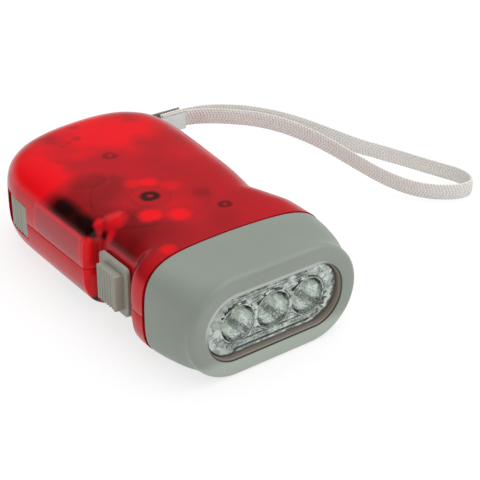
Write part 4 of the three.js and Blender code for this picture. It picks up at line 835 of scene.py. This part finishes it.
def makeLatch():
    # a ribbed pad on the body's edge, a leg down from it, and a bar across to the lever's tooth
    p = latchParts
    outline = bodyOutline()
    side = outline[(outline[:, 0] < 0) & (outline[:, 1] > 60) & (outline[:, 1] < 95)]
    order = np.argsort(side[:, 1])
    edgeX = lambda y: np.interp(y, side[order, 1], side[order, 0])
    split = latch["front"] + latch["strip"]
    face = np.vstack([ribbedProfile(latch["front"], split, 0, p["ribDeep"], 1, 0),
                      ribbedProfile(split, latch["back"], p["ribsIn"], p["ribDeep"],
                                    p["ribs"], p["gapShare"])])
    face[:, 0] += edgeX(face[:, 1]) + p["sunk"]
    innerY = np.linspace(latch["back"], latch["front"], 8)
    inner = np.column_stack([edgeX(innerY) + p["padThick"], innerY])
    pad = meshObject("latchPad", *prism(np.vstack([face, inner])[::-1],
                                        midZ - latch["half"], midZ + latch["half"]))
    bevelled(pad, p["round"], 2, 55)
    left, right = p["legLeft"], p["legLeft"] + p["legThick"]
    front, back, barBack = p["legFront"] - p["barWide"], p["legFront"], p["legFront"] + p["barWide"]
    low, top = p["barLow"], p["barLow"] + p["barThick"]
    boxes = [
        (-body["switchSide"] + p["footIn"], right, front, back, midZ - latch["half"], midZ - p["spare"]),
        (left, right, front, back + p["spare"], low, midZ - p["spare"]),
        (left + p["legThick"] / 2, p["toothEdge"], back, barBack, low, top),
        (p["toothEdge"] - p["toothWide"], p["toothEdge"], back, barBack + p["toothLong"], low, top),
    ]
    for box in boxes:
        combine(pad, meshObject("latchArm", *boxSolid(*box)), "UNION")
    pad.name = "latchSlide"
    return pad


latchSlide = makeLatch()
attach(latchSlide, "latch")
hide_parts("latch_slider")
print("switch and latch made")


# lever

def leverBand(outer, inner, front, back, low, high):
    # a band between two insets of the body's edge, cut square at its ends
    spare = 4.0
    outline = bodyOutline()
    lines = []
    for by in (outer, inner):
        edge = inset(outline, by) if by > 0 else outline
        edge = edge[(edge[:, 0] > 0) & (edge[:, 1] > front - spare) & (edge[:, 1] < back + spare)]
        lines.append(edge[np.argsort(edge[:, 1])])
    band = meshObject("band", *prism(np.vstack([lines[0], lines[1][::-1]]), low, high))
    crop = meshObject("crop", *boxSolid(0, 60, front, back, low - 1, high + 1))
    return combine(band, crop, "INTERSECT")


leverInside = dict(sector=(5.6, 8.1), sectorWindow=(3, 11), neck=(10.2, 17.6), core=(9, 19),  # heights
                   neckWide=2, coreRadius=2.9, catchWide=1.6, catchLong=1.5, barbLong=3.1, catchGap=0.3)
gearTooth = dict(module=0.8, tip=0.8, root=1.15, sectorTeeth=83, start=radians(107), end=radians(148),
                 rim=5.0, footHalf=0.28, tipHalf=0.11, windowIn=0.13, windowFoot=0.42)


def polar(radius, angle):
    # r cos t, r sin t
    return np.column_stack([np.asarray(radius) * np.cos(angle), np.asarray(radius) * np.sin(angle)])


def sectorRadii():
    # root and tip: teeth times module / 2, less and plus a share of the module
    pitch = gearTooth["sectorTeeth"] * gearTooth["module"] / 2
    return pitch - gearTooth["root"] * gearTooth["module"], pitch + gearTooth["tip"] * gearTooth["module"]


def sectorOutline():
    # straight-sided teeth from root to tip, closed by a line each way to the hub
    g = gearTooth
    step = 2 * pi / g["sectorTeeth"]
    root, tip = sectorRadii()
    first, last = int(np.ceil(g["start"] / step)), int(np.floor(g["end"] / step))
    corners = np.array([-g["footHalf"], -g["tipHalf"], g["tipHalf"], g["footHalf"]])
    tooth = np.arange(first, last)[:, None] + corners[None, :]
    teeth = polar(np.tile([root, tip, tip, root], last - first), tooth.ravel() * step)
    start, end = (first - 0.5) * step, (last - 0.5) * step
    hub = leverInside["coreRadius"]
    back = polar([root - g["rim"], hub, hub], np.array([end, end, start]))
    return np.vstack([teeth, back]) + shafts["lever"]


def sectorWindow():
    # a piece of the ring between the hub and the toothed rim
    g = gearTooth
    outside = sectorRadii()[0] - g["rim"]
    foot = outside * g["windowFoot"]
    low, high = g["start"] + g["windowIn"], g["end"] - g["windowIn"]
    outer = polar(np.full(9, outside), np.linspace(low, high, 9))
    inner = polar([foot, foot], np.array([high - g["windowIn"] / 2, low + g["windowIn"] / 2]))
    return np.vstack([outer, inner]) + shafts["lever"]


def makeLever():
    # a hollow grip cut from the body's own form, with a hub, arms, toothed sector and catch
    low, high, wall, depth = midZ - lever["half"], midZ + lever["half"], lever["wall"], lever["depth"]
    start, end, hub, spot = lever["start"], lever["end"], lever["hub"], leverInside
    px, py = shafts["lever"]
    grip = leverBand(lever["inset"], depth, start, end, low, high)
    combine(grip, meshObject("form", *pillow(0)), "INTERSECT")
    combine(grip, leverBand(lever["inset"] + wall, depth + 2, start - 2, end - wall,
                            low + wall, high - wall))
    deep = inset(bodyOutline(), depth)
    deep = deep[deep[:, 0] > 0]

    def deepX(behind):
        beyond = deep[deep[:, 1] > behind]
        return beyond[np.argmin(beyond[:, 1]), 0]

    frontX, tipX = deepX(start), deepX(end - wall)
    arm = [(px - hub, py), (px + hub, py), (frontX + depth / 2, start + wall * 2),
           (frontX + wall, start + depth)]
    catchX = latchParts["toothEdge"] - latchParts["toothWide"] - spot["catchGap"] - spot["catchWide"]
    catchTop = latchParts["barLow"] + latchParts["barThick"] + spot["catchGap"]
    parts = [prism(circle(px, py, hub), low, high), prism(arm, low, low + wall),
             prism(arm, high - wall, high), prism(sectorOutline(), *spot["sector"]),
             boxSolid(catchX, tipX + wall, end - spot["catchLong"], end, low, catchTop),
             boxSolid(catchX, catchX + spot["catchWide"], end - spot["barbLong"], end, low, catchTop)]
    for part in parts:
        combine(grip, meshObject("leverPart", *part), "UNION")
    neck = meshObject("neck", *prism(circle(px, py, hub + spot["neckWide"]), *spot["neck"]))
    combine(neck, meshObject("core", *prism(circle(px, py, spot["coreRadius"]), *spot["core"])))
    window = meshObject("window", *prism(sectorWindow(), *spot["sectorWindow"]))
    bore = meshObject("bore", *prism(circle(px, py, lever["bore"], 24), 0, 28))
    for cutter in (neck, window, bore):
        combine(grip, cutter)
    grip.name = "leverGrip"
    return grip


leverGrip = makeLever()
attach(leverGrip, "lever")
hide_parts("squeeze_lever")
print("lever made")

# materials


class Wire:
    # one socket of a material's nodes: sums on numbers add Math nodes, anything else comes from node()
    def __init__(self, tree, socket=None):
        self.tree, self.socket = tree, socket

    def node(self, kind, settings=None, sockets=None, output=0):
        made = self.tree.nodes.new(kind)
        for name, value in (settings or {}).items():
            if name == "stops":
                ramp = made.color_ramp
                while len(ramp.elements) > len(value):
                    ramp.elements.remove(ramp.elements[-1])
                while len(ramp.elements) < len(value):
                    ramp.elements.new(1)
                for element, (place, colour) in zip(ramp.elements, value):
                    element.position = place
                    element.color = colour if len(colour) == 4 else (*colour, 1)
            else:
                setattr(made, name, value)
        for name, value in (sockets or {}).items():
            into = made.inputs[name]
            if isinstance(value, Wire):
                self.tree.links.new(value.socket, into)
            elif into.type == "RGBA" and len(value) == 3:
                into.default_value = (*value, 1)
            else:
                into.default_value = value
        return Wire(self.tree, made.outputs[output])

    def math(self, operation, *others, clamp=False):
        return self.node("ShaderNodeMath", dict(operation=operation, use_clamp=clamp),
                         dict(enumerate((self, *others))))

    def __add__(self, other): return self.math("ADD", other)
    def __radd__(self, other): return self.math("ADD", other)
    def __sub__(self, other): return self.math("SUBTRACT", other)
    def __rsub__(self, other):
        return self.node("ShaderNodeMath", dict(operation="SUBTRACT"), {0: other, 1: self})

    def __mul__(self, other): return self.math("MULTIPLY", other)
    def __rmul__(self, other): return self.math("MULTIPLY", other)
    def __pow__(self, other): return self.math("POWER", other)

    def high(self, other): return self.math("MAXIMUM", other)
    def clamped(self): return self.math("ADD", 0.0, clamp=True)

    def ramp(self, start, end, low=0.0, high=1.0):
        # rises smoothly from low to high as the value goes from start to end
        return self.node("ShaderNodeMapRange", dict(interpolation_type="SMOOTHSTEP"),
                         {"Value": self, "From Min": start, "From Max": end, "To Min": low, "To Max": high})

    def tint(self, first, second):
        # goes from the first colour to the second as this value goes from 0 to 1
        return self.node("ShaderNodeMix", dict(data_type="RGBA"), {0: self, 6: first, 7: second}, output=2)

    def part(self, axis):
        return self.node("ShaderNodeSeparateXYZ", None, {0: self}, output="XYZ".index(axis))

    def noise(self, scale, detail=2.0):
        return self.node("ShaderNodeTexNoise", None, {"Vector": self, "Scale": scale, "Detail": detail})

    def bump(self, strength, distance):
        return self.node("ShaderNodeBump", None,
                         {"Height": self, "Strength": strength, "Distance": distance})

    def size(self):
        return self.math("ABSOLUTE")

    def between(self, low, high, soft):
        return self.ramp(low - soft, low + soft) * self.ramp(high + soft, high - soft)


def newMaterial(name):
    material = bpy.data.materials.new(name)
    material.use_nodes = True
    tree = material.node_tree
    tree.nodes.clear()
    wire = Wire(tree)
    # object coordinates in millimetres from the front face, as the sizes above are
    local = wire.node("ShaderNodeTexCoord", output=3)
    place = wire.node("ShaderNodeVectorMath", dict(operation="MULTIPLY_ADD"),
                      {0: local, 1: (1000, 1000, 1000), 2: tuple(middle)})
    return material, wire, place


def surface(wire, shader):
    output = wire.tree.nodes.new("ShaderNodeOutputMaterial")
    wire.tree.links.new(shader.socket, output.inputs["Surface"])


def principled(wire, **values):
    sockets = {name.replace("_", " "): value for name, value in values.items()}
    return wire.node("ShaderNodeBsdfPrincipled", None, sockets)


def plainPlastic(name, colour, roughness=0.42, grain=0.5):
    # moulded plastic: slow changes of colour and a fine grain
    material, wire, place = newMaterial(name)
    cloud = place.noise(0.05, 3.0)
    fine = place.noise(3.2, 2.0)
    dark = tuple(part * 0.96 for part in colour)
    light = tuple(min(1.0, part * 1.03) for part in colour)
    base = cloud.ramp(0.3, 0.7).tint(dark, light)
    rough = fine.ramp(0.3, 0.7, roughness - 0.03, roughness + 0.03)
    normal = fine.bump(0.12 * grain, 0.0002)
    surface(wire, principled(wire, Base_Color=base, Roughness=rough, Normal=normal))
    return material


def metal(name, colour, roughness=0.28, brushed=0.3, stretch=(1, 1, 8)):
    # worked metal: cloudy colour, and streaks along the way it was drawn
    material, wire, place = newMaterial(name)
    drawn = place.node("ShaderNodeVectorMath", dict(operation="MULTIPLY"), {0: place, 1: stretch})
    streak = drawn.noise(0.9, 3.0)
    cloud = place.noise(0.25, 2.0)
    base = cloud.ramp(0.3, 0.7).tint(tuple(c * 0.88 for c in colour), colour)
    rough = streak.ramp(0.3, 0.7, roughness - 0.08, roughness + 0.1)
    normal = streak.bump(brushed * 0.2, 0.0001)
    surface(wire, principled(wire, Base_Color=base, Metallic=1.0, Roughness=rough, Normal=normal))
    return material


# how far a patch hides the plating's own colour is its share
plating = dict(deep=(0.93, 0.95, 0.93), shallow=(0.6, 0.63, 0.6), roughness=0.13, deepFrom=(0.35, 1.0),
               frontUpTo=(1.6, 0.6), cloud=(0.3, 0.32, 0.31), cloudShare=0.22, patch=(0.24, 0.26, 0.24),
               patchShare=0.6, facet=(0.14, 0.16, 0.15), facetShare=0.5, facetHigh=1.2)


def platedMetal(name):
    # bright in the cups; the front between them is greyer, in facets and uneven patches
    material, wire, place = newMaterial(name)
    behind = place.part("Y") - cups["front"]
    front = behind.ramp(*plating["frontUpTo"])
    uneven, patches = place.noise(0.8), place.noise(0.32)
    facets = place.node("ShaderNodeTexVoronoi", None, {"Vector": place, "Scale": 0.5})
    base = behind.ramp(*plating["deepFrom"]).tint(plating["shallow"], plating["deep"])
    base = (uneven.ramp(0.42, 0.62) * plating["cloudShare"]).tint(base, plating["cloud"])
    base = (patches.ramp(0.4, 0.56) * front * plating["patchShare"]).tint(base, plating["patch"])
    base = (facets.ramp(0.45, 0.75) * front * plating["facetShare"]).tint(base, plating["facet"])
    normal = (uneven + facets * front * plating["facetHigh"]).bump(0.4, 0.0003)
    surface(wire, principled(wire, Base_Color=base, Metallic=1.0, Roughness=plating["roughness"],
                             Normal=normal))
    return material


redLook = dict(see=(0.85, 0.02, 0.03), solid=0.86, roughness=0.2, gloss=1.5, shine=0.27, grain=0.08,
               tone=0.54, cloud=0.2, panel=(0.52, 0.045, 0.055), edgeLine=(0.95, 0.06, 0.1),
               band=0.5, wall=0.17, wallGrain=0.16, endHighlight=0.7, slit=0.35, scoop=0.4)
# where its parts are: from and to, along X, Y or Z, and Up for the height above or below the middle
redPlaces = dict(broadUp=(7.8, 10.2), shadeBandUp=(8.3, 9.3), shadeBandX=(-21.2, -24.6), shadeBandBackY=(73, 60),
                 shadeBandFrontY=(16, 34), wallX=(-24.5, -26.5), wallEndY=(46.2, 44.6), notchEndY=(42.3, 43.1),
                 slitX=(-23.6, -24.2), slitY=(40.2, 42.2), scoopOutX=(-24.5, -23.9), scoopInX=(-20.5, -22),
                 scoopY=(22.4, 24.2), panelY=(47.8, 69), panelZ=(14.6, 21.2), lineY=(46.4, 70.6),
                 lineZ=(14.3, 22.4))
# the tone is about the share of red that the plastic gives back
redTones = [(0.0, (0.01, 0.0, 0.0)), (0.15, (0.12, 0.001, 0.002)), (0.5, (0.5, 0.006, 0.012)),
            (1.0, (1.0, 0.0, 0.008))]
# painted light and shade: spots drawn lighter where light would come through the plastic, and darker
# (negative) where the works under it would shade it: x, y, radius, how much
lightAndShadeSpots = [(-19.0, 42.3, 3.5, 0.5), (-11.6, 37.7, 3.4, 0.85), (-5.3, 33.9, 3.4, 0.5), (-5.8, 55.1, 2.9, 0.34),
         (-1.9, 53.2, 2.9, 0.5), (1.6, 48.4, 3.8, 0.22), (-17.3, 21.3, 2.6, 0.45), (-26, 74, 12, 0.8),
         (4, 88, 17, 0.44), (-22, 84, 12, 0.34), (14, 82, 10, 0.15), (20, 62, 9, 0.1), (-17, 57, 11, -0.18),
         (-21, 40, 12, -0.2), (-17, 29, 11, -0.16), (0, 26, 12, -0.06), (6.0, 40.3, 3.6, -0.16),
         (-0.5, 95, 2.0, -0.3), (-3.8, 87.5, 1.8, -0.34), (-6.6, 86.6, 1.1, -0.2), (-9.2, 85.4, 1.0, -0.22),
         (-9, 90, 5, -0.14), (-3, 36, 7, 0.1), (-3, 62, 8, 0.06), (-22.9, 44.6, 1.6, 0.7),
         (-22.6, 42.2, 1.2, -0.3), (-22.4, 39.9, 1.6, 0.6)]
# faint edges of the wheel under the plastic: x, y, radius, width, how much
wheelLines = [(-5.9, 46.4, 5.4, 0.5, -0.1), (-5.9, 46.4, 7.4, 0.5, 0.07), (-14.2, 64.1, 6.0, 0.8, 0.06),
              (-5.9, 46.4, 15.5, 0.8, -0.06)]
# painted shade in a ring, with a lighter painted middle, where a post stands under the plastic: x, y, radius,
# how much
postShadeRings = [(-1.6, 72.8, 2.3, 0.26), (-5.9, 46.4, 2.8, 0.5), (7.3, 31.5, 2.0, 0.3), (18.2, 94.7, 2.0, 0.14)]


def redPlastic(name):
    # a glossy skin that lets a little through, over tones with painted light where light would come through
    # it and painted shade where the works under it would block the light
    material, wire, place = newMaterial(name)
    look, at = redLook, redPlaces
    x, y, z = place.part("X"), place.part("Y"), place.part("Z")
    wobble, broad = place.noise(0.35) - 0.5, place.noise(0.07) - 0.5

    def away(atX, atY, radius=2.0):
        # distance from a spot, uneven by an amount that grows with the spot
        shift = wobble * 1.3 if radius < 5 else broad * radius * 1.5
        return ((x - atX + shift) ** 2 + (y - atY + shift) ** 2) ** 0.5

    up = (z - midZ).size()
    face = up.ramp(*at["broadUp"])  # the broad faces above and below
    marks = face * 0.0
    # each spot adds its painted light (positive) and painted shade (negative) to the marks
    for atX, atY, radius, much in lightAndShadeSpots:
        marks = marks + away(atX, atY, radius).ramp(radius * 1.2, radius * 0.3, 0.0, much)
    # painted shade round each post, and a lighter painted middle
    for atX, atY, radius, much in postShadeRings:
        far = away(atX, atY)
        marks = marks - far.ramp(radius * 1.2, radius * 0.7, 0.0, much)
        marks = marks + far.ramp(radius * 0.45, radius * 0.2, 0.0, much * 0.8)
    for atX, atY, radius, width, much in wheelLines:
        marks = marks + (away(atX, atY) - radius).size().ramp(width, 0.0, 0.0, much)
    # the spots' painted light and shade, the posts' painted shade and the wheel's lines lie on the broad
    # faces only
    tone = look["tone"] + (place.noise(0.11, 3.0) - 0.5) * look["cloud"] + marks * face
    # painted shade: the rounding above the switch's side is drawn nearly black between the tail and the head,
    # where the wall shades the inside
    band = x.ramp(*at["shadeBandX"]) * up.ramp(*at["shadeBandUp"])
    band = band * y.ramp(*at["shadeBandBackY"]) * y.ramp(*at["shadeBandFrontY"])
    side = 1 - face
    wall = x.ramp(*at["wallX"]) * side
    # painted highlight: the wall is drawn lighter at both ends of the notch
    ends = wall * y.ramp(*at["wallEndY"]) * y.ramp(*at["notchEndY"])  # here the wall catches the light
    slit = side * x.ramp(*at["slitX"]) * y.between(*at["slitY"], 0.4)
    scoop = side * x.ramp(*at["scoopOutX"]) * x.ramp(*at["scoopInX"]) * y.between(*at["scoopY"], 0.4)
    # the band's painted shade and the wall ends' painted highlight go into the tone here
    tone = tone - band * look["band"] + wall * look["wall"] + ends * look["endHighlight"]
    tone = tone - slit * look["slit"] + scoop * look["scoop"]
    tone = tone + (place.noise(1.6, 3.0) - 0.5) * (look["grain"] + wall * look["wallGrain"])
    colour = tone.node("ShaderNodeValToRGB", dict(stops=redTones), {0: tone})
    panel = wall * y.between(*at["panelY"], 0.7) * z.between(*at["panelZ"], 0.25)
    frameLine = wall * y.between(*at["lineY"], 0.5) * z.between(*at["lineZ"], 0.3) * (1 - panel)
    colour = (frameLine * 0.4).tint(colour, look["edgeLine"])
    colour = (panel * 0.9).tint(colour, look["panel"])
    see = wire.node("ShaderNodeBsdfTransparent", None, {"Color": look["see"]})
    skin = principled(wire, Base_Color=colour, Roughness=look["roughness"], IOR=look["gloss"],
                      Specular_IOR_Level=look["shine"], Normal=place.noise(0.09).bump(0.2, 0.0006))
    surface(wire, wire.node("ShaderNodeMixShader", None, {0: look["solid"], 1: see, 2: skin}))
    return material


headLook = dict(colour=(0.285, 0.32, 0.275), roughness=0.4, wall=(0.3, 0.25, 0.2), line=(0.05, 0.035, 0.025),
                upperLine=(0.5, 0.53, 0.48), floorLitRim=1.5)
# from and to, along X, Y or Z, and Out for the distance outside the window's edge
headPlaces = dict(rimZ=(7.5, 4), rimY=(2.6, 1.2), lowZ=(17, 12), lowX=(12, 16), frontY=(2, 1),
                  upperFromOut=(0.1, 0.3), upperToOut=(1.5, 1.1), wallOut=(0.45, 0.2), wallY=(0.3, 0.6),
                  lineFromOut=(0.12, 0.25), lineToOut=(0.65, 0.45))


def headPlastic(name):
    # grey-green with a brownish window wall, a dark line at its edge, and a lower frame painted lighter, as
    # if lit from the floor
    material, wire, place = newMaterial(name)
    look, at = headLook, headPlaces
    x, y, z = place.part("X"), place.part("Y"), place.part("Z")
    fine = place.noise(3.2)
    scaled = lambda share: tuple(part * share for part in look["colour"])
    base = place.noise(0.05, 3.0).ramp(0.3, 0.7).tint(scaled(0.96), scaled(1.03))
    # painted light: the lower front rim is drawn lighter, as the floor would light it
    base = (z.ramp(*at["rimZ"]) * y.ramp(*at["rimY"])).tint(base, scaled(look["floorLitRim"]))
    corner = head["windowCorner"]
    overX = (x.size() - (head["windowWide"] / 2 - corner)).high(0.0)
    overZ = ((z - midZ).size() - (head["windowHigh"] / 2 - corner)).high(0.0)
    out = (overX ** 2 + overZ ** 2) ** 0.5 - corner
    low = z.ramp(*at["lowZ"]).high(x.ramp(*at["lowX"]))
    front = y.ramp(*at["frontY"])
    upper = out.ramp(*at["upperFromOut"]) * out.ramp(*at["upperToOut"]) * (1 - low) * front
    base = upper.tint(base, look["upperLine"])
    base = (out.ramp(*at["wallOut"]) * y.ramp(*at["wallY"])).tint(base, look["wall"])
    line = out.ramp(*at["lineFromOut"]) * out.ramp(*at["lineToOut"]) * low * front
    base = line.tint(base, look["line"])
    rough = fine.ramp(0.3, 0.7, look["roughness"] - 0.03, look["roughness"] + 0.03)
    surface(wire, principled(wire, Base_Color=base, Roughness=rough, Normal=fine.bump(0.06, 0.0002)))
    return material


weave = dict(light=(0.88, 0.86, 0.82), dark=(0.67, 0.64, 0.6), row=0.95, lean=3.0, stitch=0.86,
             rowShare=0.6, stitchShare=0.3, fuzz=0.9)


def wovenTape(name):
    # rows of V-shaped stitches: the phase runs along the tape and leans with the distance from its middle
    material, wire, place = newMaterial(name)
    onTape = wire.node("ShaderNodeUVMap", dict(uv_map="weave"))
    across, along = onTape.part("X"), onTape.part("Y")
    rows = (along * (2 * pi / weave["row"]) + across.size() * weave["lean"]).math("SINE")
    stitches = (across * (2 * pi / weave["stitch"])).math("COSINE")
    fuzz = (place.noise(1.4, 3.0) - 0.5) * weave["fuzz"]
    height = rows * weave["rowShare"] + stitches * weave["stitchShare"] + fuzz
    base = height.ramp(-1.0, 0.5).tint(weave["dark"], weave["light"])
    surface(wire, principled(wire, Base_Color=base, Roughness=0.85, Normal=height.bump(0.5, 0.0002)))
    return material


def clearPlastic(name, tint, share):
    # clear with a gloss that grows towards the edge, on outward faces only, so that light gets out
    material, wire, _ = newMaterial(name)
    see = wire.node("ShaderNodeBsdfTransparent", None, {"Color": tint})
    gloss = principled(wire, Base_Color=(0.9, 0.92, 0.92), Roughness=0.04, IOR=1.6)
    glance = wire.node("ShaderNodeLayerWeight", None, {"Blend": 0.12})
    outward = 1 - wire.node("ShaderNodeNewGeometry", output="Backfacing")
    glossy = ((glance + share) * outward).clamped()
    surface(wire, wire.node("ShaderNodeMixShader", None, {0: glossy, 1: see, 2: gloss}))
    return material


def give(material, *pieces):
    for piece in pieces:
        piece.data.materials.clear()
        piece.data.materials.append(material)


redShell = redPlastic("translucentRed")
give(redShell, topShell, bottomShell, leverGrip)
headGrey = headPlastic("satinGrey")
give(headGrey, headRing)
buttonGrey = plainPlastic("buttonGrey", (0.345, 0.345, 0.29), 0.42)
give(buttonGrey, thumbSwitch, latchSlide)
chrome = platedMetal("platedChrome")
give(chrome, reflectorSheet)
clear = clearPlastic("clearWindow", (0.97, 0.985, 0.98), 0.02)
give(clear, windowPane)
bulbClear = clearPlastic("lampResin", (0.95, 0.96, 0.93), 0.18)
for index in (1, 2, 3):
    bulb = bpy.data.objects[f"lampBulb{index}"]
    give(bulbClear, bulb)
steel = metal("clipSteel", (0.62, 0.62, 0.61), 0.3, 0.1)
give(steel, strapClip)
fabric = wovenTape("wovenFabric")
give(fabric, wristStrap)

# the pieces inside, which show as the solids have them: one material and the nodes that have it
inside = [
    (metal("springSteel", (0.55, 0.55, 0.56), 0.3), ["lever_spring"]),
    (plainPlastic("gearNylon", (0.72, 0.7, 0.64), 0.5),
     ["first_gear", "second_gear", "rotor_pinion", "coil_bobbin"]),
    (plainPlastic("ferrite", (0.03, 0.03, 0.032), 0.55, 2.0), ["rotor_magnet"]),
    (metal("shaftSteel", (0.6, 0.61, 0.62), 0.25),
     ["lever_shaft", "first_shaft", "second_shaft", "rotor_shaft", "strap_post"]),
    (plainPlastic("plateNylon", (0.6, 0.58, 0.52), 0.5), ["bearing_plate"]),
    (metal("coreIron", (0.25, 0.25, 0.26), 0.5), ["stator_core"]),
    (metal("copperWire", (0.72, 0.33, 0.14), 0.35), ["coil_winding"]),
    (plainPlastic("cellSkin", (0.05, 0.2, 0.08), 0.35),
     ["battery_cell_1", "battery_cell_2", "battery_cell_3"]),
    (metal("contactSteel", (0.6, 0.6, 0.6), 0.3), ["contact_left", "contact_right"]),
    (plainPlastic("boardGreen", (0.03, 0.14, 0.05), 0.4), ["charging_board", "lamp_board"]),
    (plainPlastic("switchBlack", (0.012, 0.012, 0.013), 0.45), ["switch_body"]),
    (metal("screwSteel", (0.5, 0.5, 0.51), 0.35), ["screw_1", "screw_2", "screw_3", "screw_4"]),
]
for material, names in inside:
    give(material, *[bpy.data.objects[name] for name in names])
print("materials made")

# floor, world and lamps

stage = dict(size=4.0, bounce=0.85, seenColour=0.3, seenGlow=0.74, backdrop=1.0,
             world=(0.53, 0.75), lightSide=(0.75, -0.45, 0.48),  # the world's light and its bright side
             softbox=(0.74, 0.45, 0.5), softFrom=(0.1, 1.05), softGlow=(0.05, 0.27),  # what gloss mirrors
             horizonFrom=(0.35, 0.0), horizonGlow=0.7)
overhead = dict(place=(0.25, -0.12, 0.95), size=(1.5, 1.2), watts=5.8)


def seenDirectly(wire):
    # 1 for camera rays and for rays off gloss or through glass, so that these see the white background
    rays = [wire.node("ShaderNodeLightPath", output=output) for output in
            ("Is Camera Ray", "Is Glossy Ray", "Is Transmission Ray")]
    return rays[0].high(rays[1]).high(rays[2])


def makeFloor():
    # lights the torch as pale card, and is seen white with the torch's shadow
    size = stage["size"]
    mesh = bpy.data.meshes.new("floor")
    corners = [(-size, -size, 0), (size, -size, 0), (size, size, 0), (-size, size, 0)]
    mesh.from_pydata(corners, [], [(0, 1, 2, 3)])
    floor = bpy.data.objects.new("floor", mesh)
    bpy.context.collection.objects.link(floor)
    material, wire, _ = newMaterial("paleFloor")
    lit = principled(wire, Base_Color=(stage["bounce"],) * 3, Roughness=0.9)
    seen = principled(wire, Base_Color=(stage["seenColour"],) * 3, Roughness=0.9, Specular_IOR_Level=0.0,
                      Emission_Color=(1, 1, 1), Emission_Strength=stage["seenGlow"])
    surface(wire, wire.node("ShaderNodeMixShader", None, {0: seenDirectly(wire), 1: lit, 2: seen}))
    give(material, floor)


def makeWorld():
    # soft light, a white background, and a softbox and a horizon for what is glossy
    world = bpy.data.worlds.new("studio")
    world.use_nodes = True
    world.node_tree.nodes.clear()
    bpy.context.scene.world = world
    sky = Wire(world.node_tree)
    facing = sky.node("ShaderNodeTexCoord")
    along = lambda direction: sky.node("ShaderNodeVectorMath", dict(operation="DOT_PRODUCT"),
                                       {0: facing, 1: direction}, output=1)
    glow = lambda strength: sky.node("ShaderNodeBackground", None,
                                     {"Color": (1, 1, 1), "Strength": strength})
    light = glow(along(stage["lightSide"]).ramp(-1.0, 1.0, *stage["world"]))
    soft = along(stage["softbox"]).ramp(*stage["softFrom"], *stage["softGlow"])
    horizon = along((0, 0, 1)).ramp(*stage["horizonFrom"], 0.0, stage["horizonGlow"])
    backdrop = glow(stage["backdrop"])
    mixed = sky.node("ShaderNodeMixShader", None, {0: seenDirectly(sky), 1: light, 2: backdrop})
    glossy = sky.node("ShaderNodeLightPath", output="Is Glossy Ray")
    mixed = sky.node("ShaderNodeMixShader", None, {0: glossy, 1: mixed, 2: glow(soft.high(horizon))})
    output = world.node_tree.nodes.new("ShaderNodeOutputWorld")
    world.node_tree.links.new(mixed.socket, output.inputs["Surface"])


def makeLamp(name, place, size, watts):
    # a soft lamp that points at the torch's middle
    data = bpy.data.lights.new(name, "AREA")
    data.shape = "RECTANGLE"
    data.size, data.size_y = size
    data.energy = watts
    softLamp = bpy.data.objects.new(name, data)
    bpy.context.collection.objects.link(softLamp)
    softLamp.location = place
    softLamp.rotation_mode = "QUATERNION"
    softLamp.rotation_quaternion = (-Vector(place)).to_track_quat("-Z", "Y")


makeFloor()
makeWorld()
makeLamp("overhead", **overhead)
bpy.context.scene.view_settings.view_transform = "Standard"
print("floor, world and lamp made")
